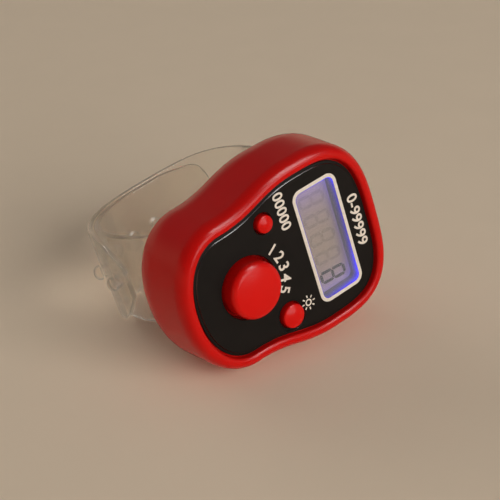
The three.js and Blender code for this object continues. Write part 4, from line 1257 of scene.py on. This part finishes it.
class COUNTER_OT_stage(CounterOperator, bpy.types.Operator):
    """Lay the floor, set the lamps and place the camera"""

    bl_idname = "counter.stage"
    bl_label = "Stage"

    def execute(self, context):
        scene = context.scene
        stage = scene.counter_stage
        self.floor(stage)
        self.world(scene, stage)
        self.lamp(scene, "key_lamp", stage.key, *KEY_LAMP)
        crest = self.lamp(scene, "crest_lamp", stage.crest, *CREST_LAMP)
        back = self.lamp(scene, "back_lamp", stage.back, *BACK_LAMP)
        # The high lamp only draws highlights, and the one behind only fills the shadows
        crest.visible_diffuse = back.visible_glossy = False
        self.camera(scene, stage)
        return {"FINISHED"}

    def floor(self, stage):
        """A plain pale floor with a hint of paper tooth, which fades into the backdrop far away."""
        half = 1.5
        corners = [(-half, -half, 0), (half, -half, 0), (half, half, 0), (-half, half, 0)]
        mesh = bpy.data.meshes.new("floor")
        mesh.from_pydata(corners, [], [(0, 1, 2, 3)])
        values = {"Roughness": 0.8, "Specular IOR Level": 0.2}
        material, tree, shader, where = surface("matt_paper_floor", values)
        rgb = tuple(stage.floor)
        tinted(tree, shader, where, 12 * MM, shaded(rgb, 0.985), rgb)
        away = add_node(tree, "ShaderNodeVectorMath", {"operation": "LENGTH"}, {0: where})
        near = eased(tree, away.outputs["Value"], 0.35, 1.1, 1, 0)
        tree.links.new(near, shader.inputs["Alpha"])
        mesh.materials.append(material)
        floor = bpy.data.objects.new("floor", mesh)
        bpy.context.scene.collection.objects.link(floor)

    def world(self, scene, stage):
        """Even light from a pale backdrop all round, under a darker ceiling."""
        world = bpy.data.worlds.new("studio")
        scene.world = world
        world.use_nodes = True
        tree = world.node_tree
        tree.nodes.clear()
        way = add_node(tree, "ShaderNodeTexCoord").outputs["Generated"]
        height = add_node(tree, "ShaderNodeSeparateXYZ", None, {0: way}).outputs["Z"]
        # The wall gives way to the ceiling between 7 and 21 degrees above the floor
        above = eased(tree, height, 0.12, 0.36, 0, 1)
        pale = {"Color": (*stage.backdrop, 1), "Strength": stage.backdrop_level}
        wall = add_node(tree, "ShaderNodeBackground", pale).outputs[0]
        dim = {"Color": (1, 1, 1, 1), "Strength": stage.ceiling}
        ceiling = add_node(tree, "ShaderNodeBackground", dim).outputs[0]
        mixed = add_node(tree, "ShaderNodeMixShader", None, {0: above, 1: wall, 2: ceiling})
        add_node(tree, "ShaderNodeOutputWorld", None, {"Surface": mixed.outputs[0]})

    def lamp(self, scene, name, power, size, spot):
        """A soft rectangular lamp that looks at the case."""
        light = bpy.data.lights.new(name, "AREA")
        light.shape, light.energy = "RECTANGLE", power
        light.size, light.size_y = size
        lamp = bpy.data.objects.new(name, light)
        lamp.location = spot
        lamp.rotation_mode = "QUATERNION"
        lamp.rotation_quaternion = (Vector((0, 0, 0.015)) - Vector(spot)).to_track_quat("-Z", "Y")
        scene.collection.objects.link(lamp)
        return lamp

    def camera(self, scene, stage):
        """The photograph's view, from up and to the left of the case."""
        across = Vector(VIEW_RIGHT).normalized()
        towards = across.cross(Vector(VIEW_UP)).normalized()
        up = towards.cross(across)
        turn = (CASE.to_3x3() @ Matrix((across, up, towards)).transposed()).to_4x4()
        focal = stage.lens / SENSOR * PICTURE
        seen = Vector((*VIEW_SHIFT, -focal))
        aim = seen.rotation_difference(Vector((0, 0, -1))).to_matrix().to_4x4()
        data = bpy.data.cameras.new("camera")
        data.lens, data.sensor_width = stage.lens, SENSOR
        data.clip_start, data.clip_end = 0.01, 10
        camera = bpy.data.objects.new("camera", data)
        eye = CASE.translation + CASE.to_3x3() @ towards * stage.distance
        camera.matrix_world = Matrix.Translation(eye) @ turn @ aim
        scene.collection.objects.link(camera)
        scene.camera = camera
        scene.view_settings.view_transform = "Standard"


OPERATORS = (
    COUNTER_OT_stage,
    COUNTER_OT_shell,
    COUNTER_OT_cover,
    COUNTER_OT_panel,
    COUNTER_OT_print,
    COUNTER_OT_display,
    COUNTER_OT_buttons,
    COUNTER_OT_band,
    COUNTER_OT_inside,
)

GROUPS = {
    "counter_case": CounterCase,
    "counter_face": CounterFace,
    "counter_buttons": CounterButtons,
    "counter_band": CounterBand,
    "counter_stage": CounterStage,
}


class COUNTER_PT_panel(bpy.types.Panel):
    """Lists the counter's sizes and the steps that build it"""

    bl_idname = "COUNTER_PT_panel"
    bl_label = "Finger tally counter"
    bl_space_type = "VIEW_3D"
    bl_region_type = "UI"
    bl_category = "Counter"

    def draw(self, context):
        for name, group in GROUPS.items():
            box = self.layout.box()
            box.label(text=name.replace("_", " ").capitalize())
            for key in group.__annotations__:
                box.prop(getattr(context.scene, name), key)
        for operator in OPERATORS:
            self.layout.operator(operator.bl_idname)


def register():
    """Registers the groups, the operators and the panel."""
    for name, group in GROUPS.items():
        bpy.utils.register_class(group)
        setattr(bpy.types.Scene, name, PointerProperty(type=group))
    for cls in (*OPERATORS, COUNTER_PT_panel):
        bpy.utils.register_class(cls)


def unregister():
    """Removes what register added."""
    for cls in (COUNTER_PT_panel, *reversed(OPERATORS)):
        bpy.utils.unregister_class(cls)
    for name, group in reversed(GROUPS.items()):
        delattr(bpy.types.Scene, name)
        bpy.utils.unregister_class(group)


def main():
    """Builds the counter."""
    register()
    for operator in OPERATORS:
        category, name = operator.bl_idname.split(".")
        getattr(getattr(bpy.ops, category), name)()


if __name__ == "__main__":
    main()
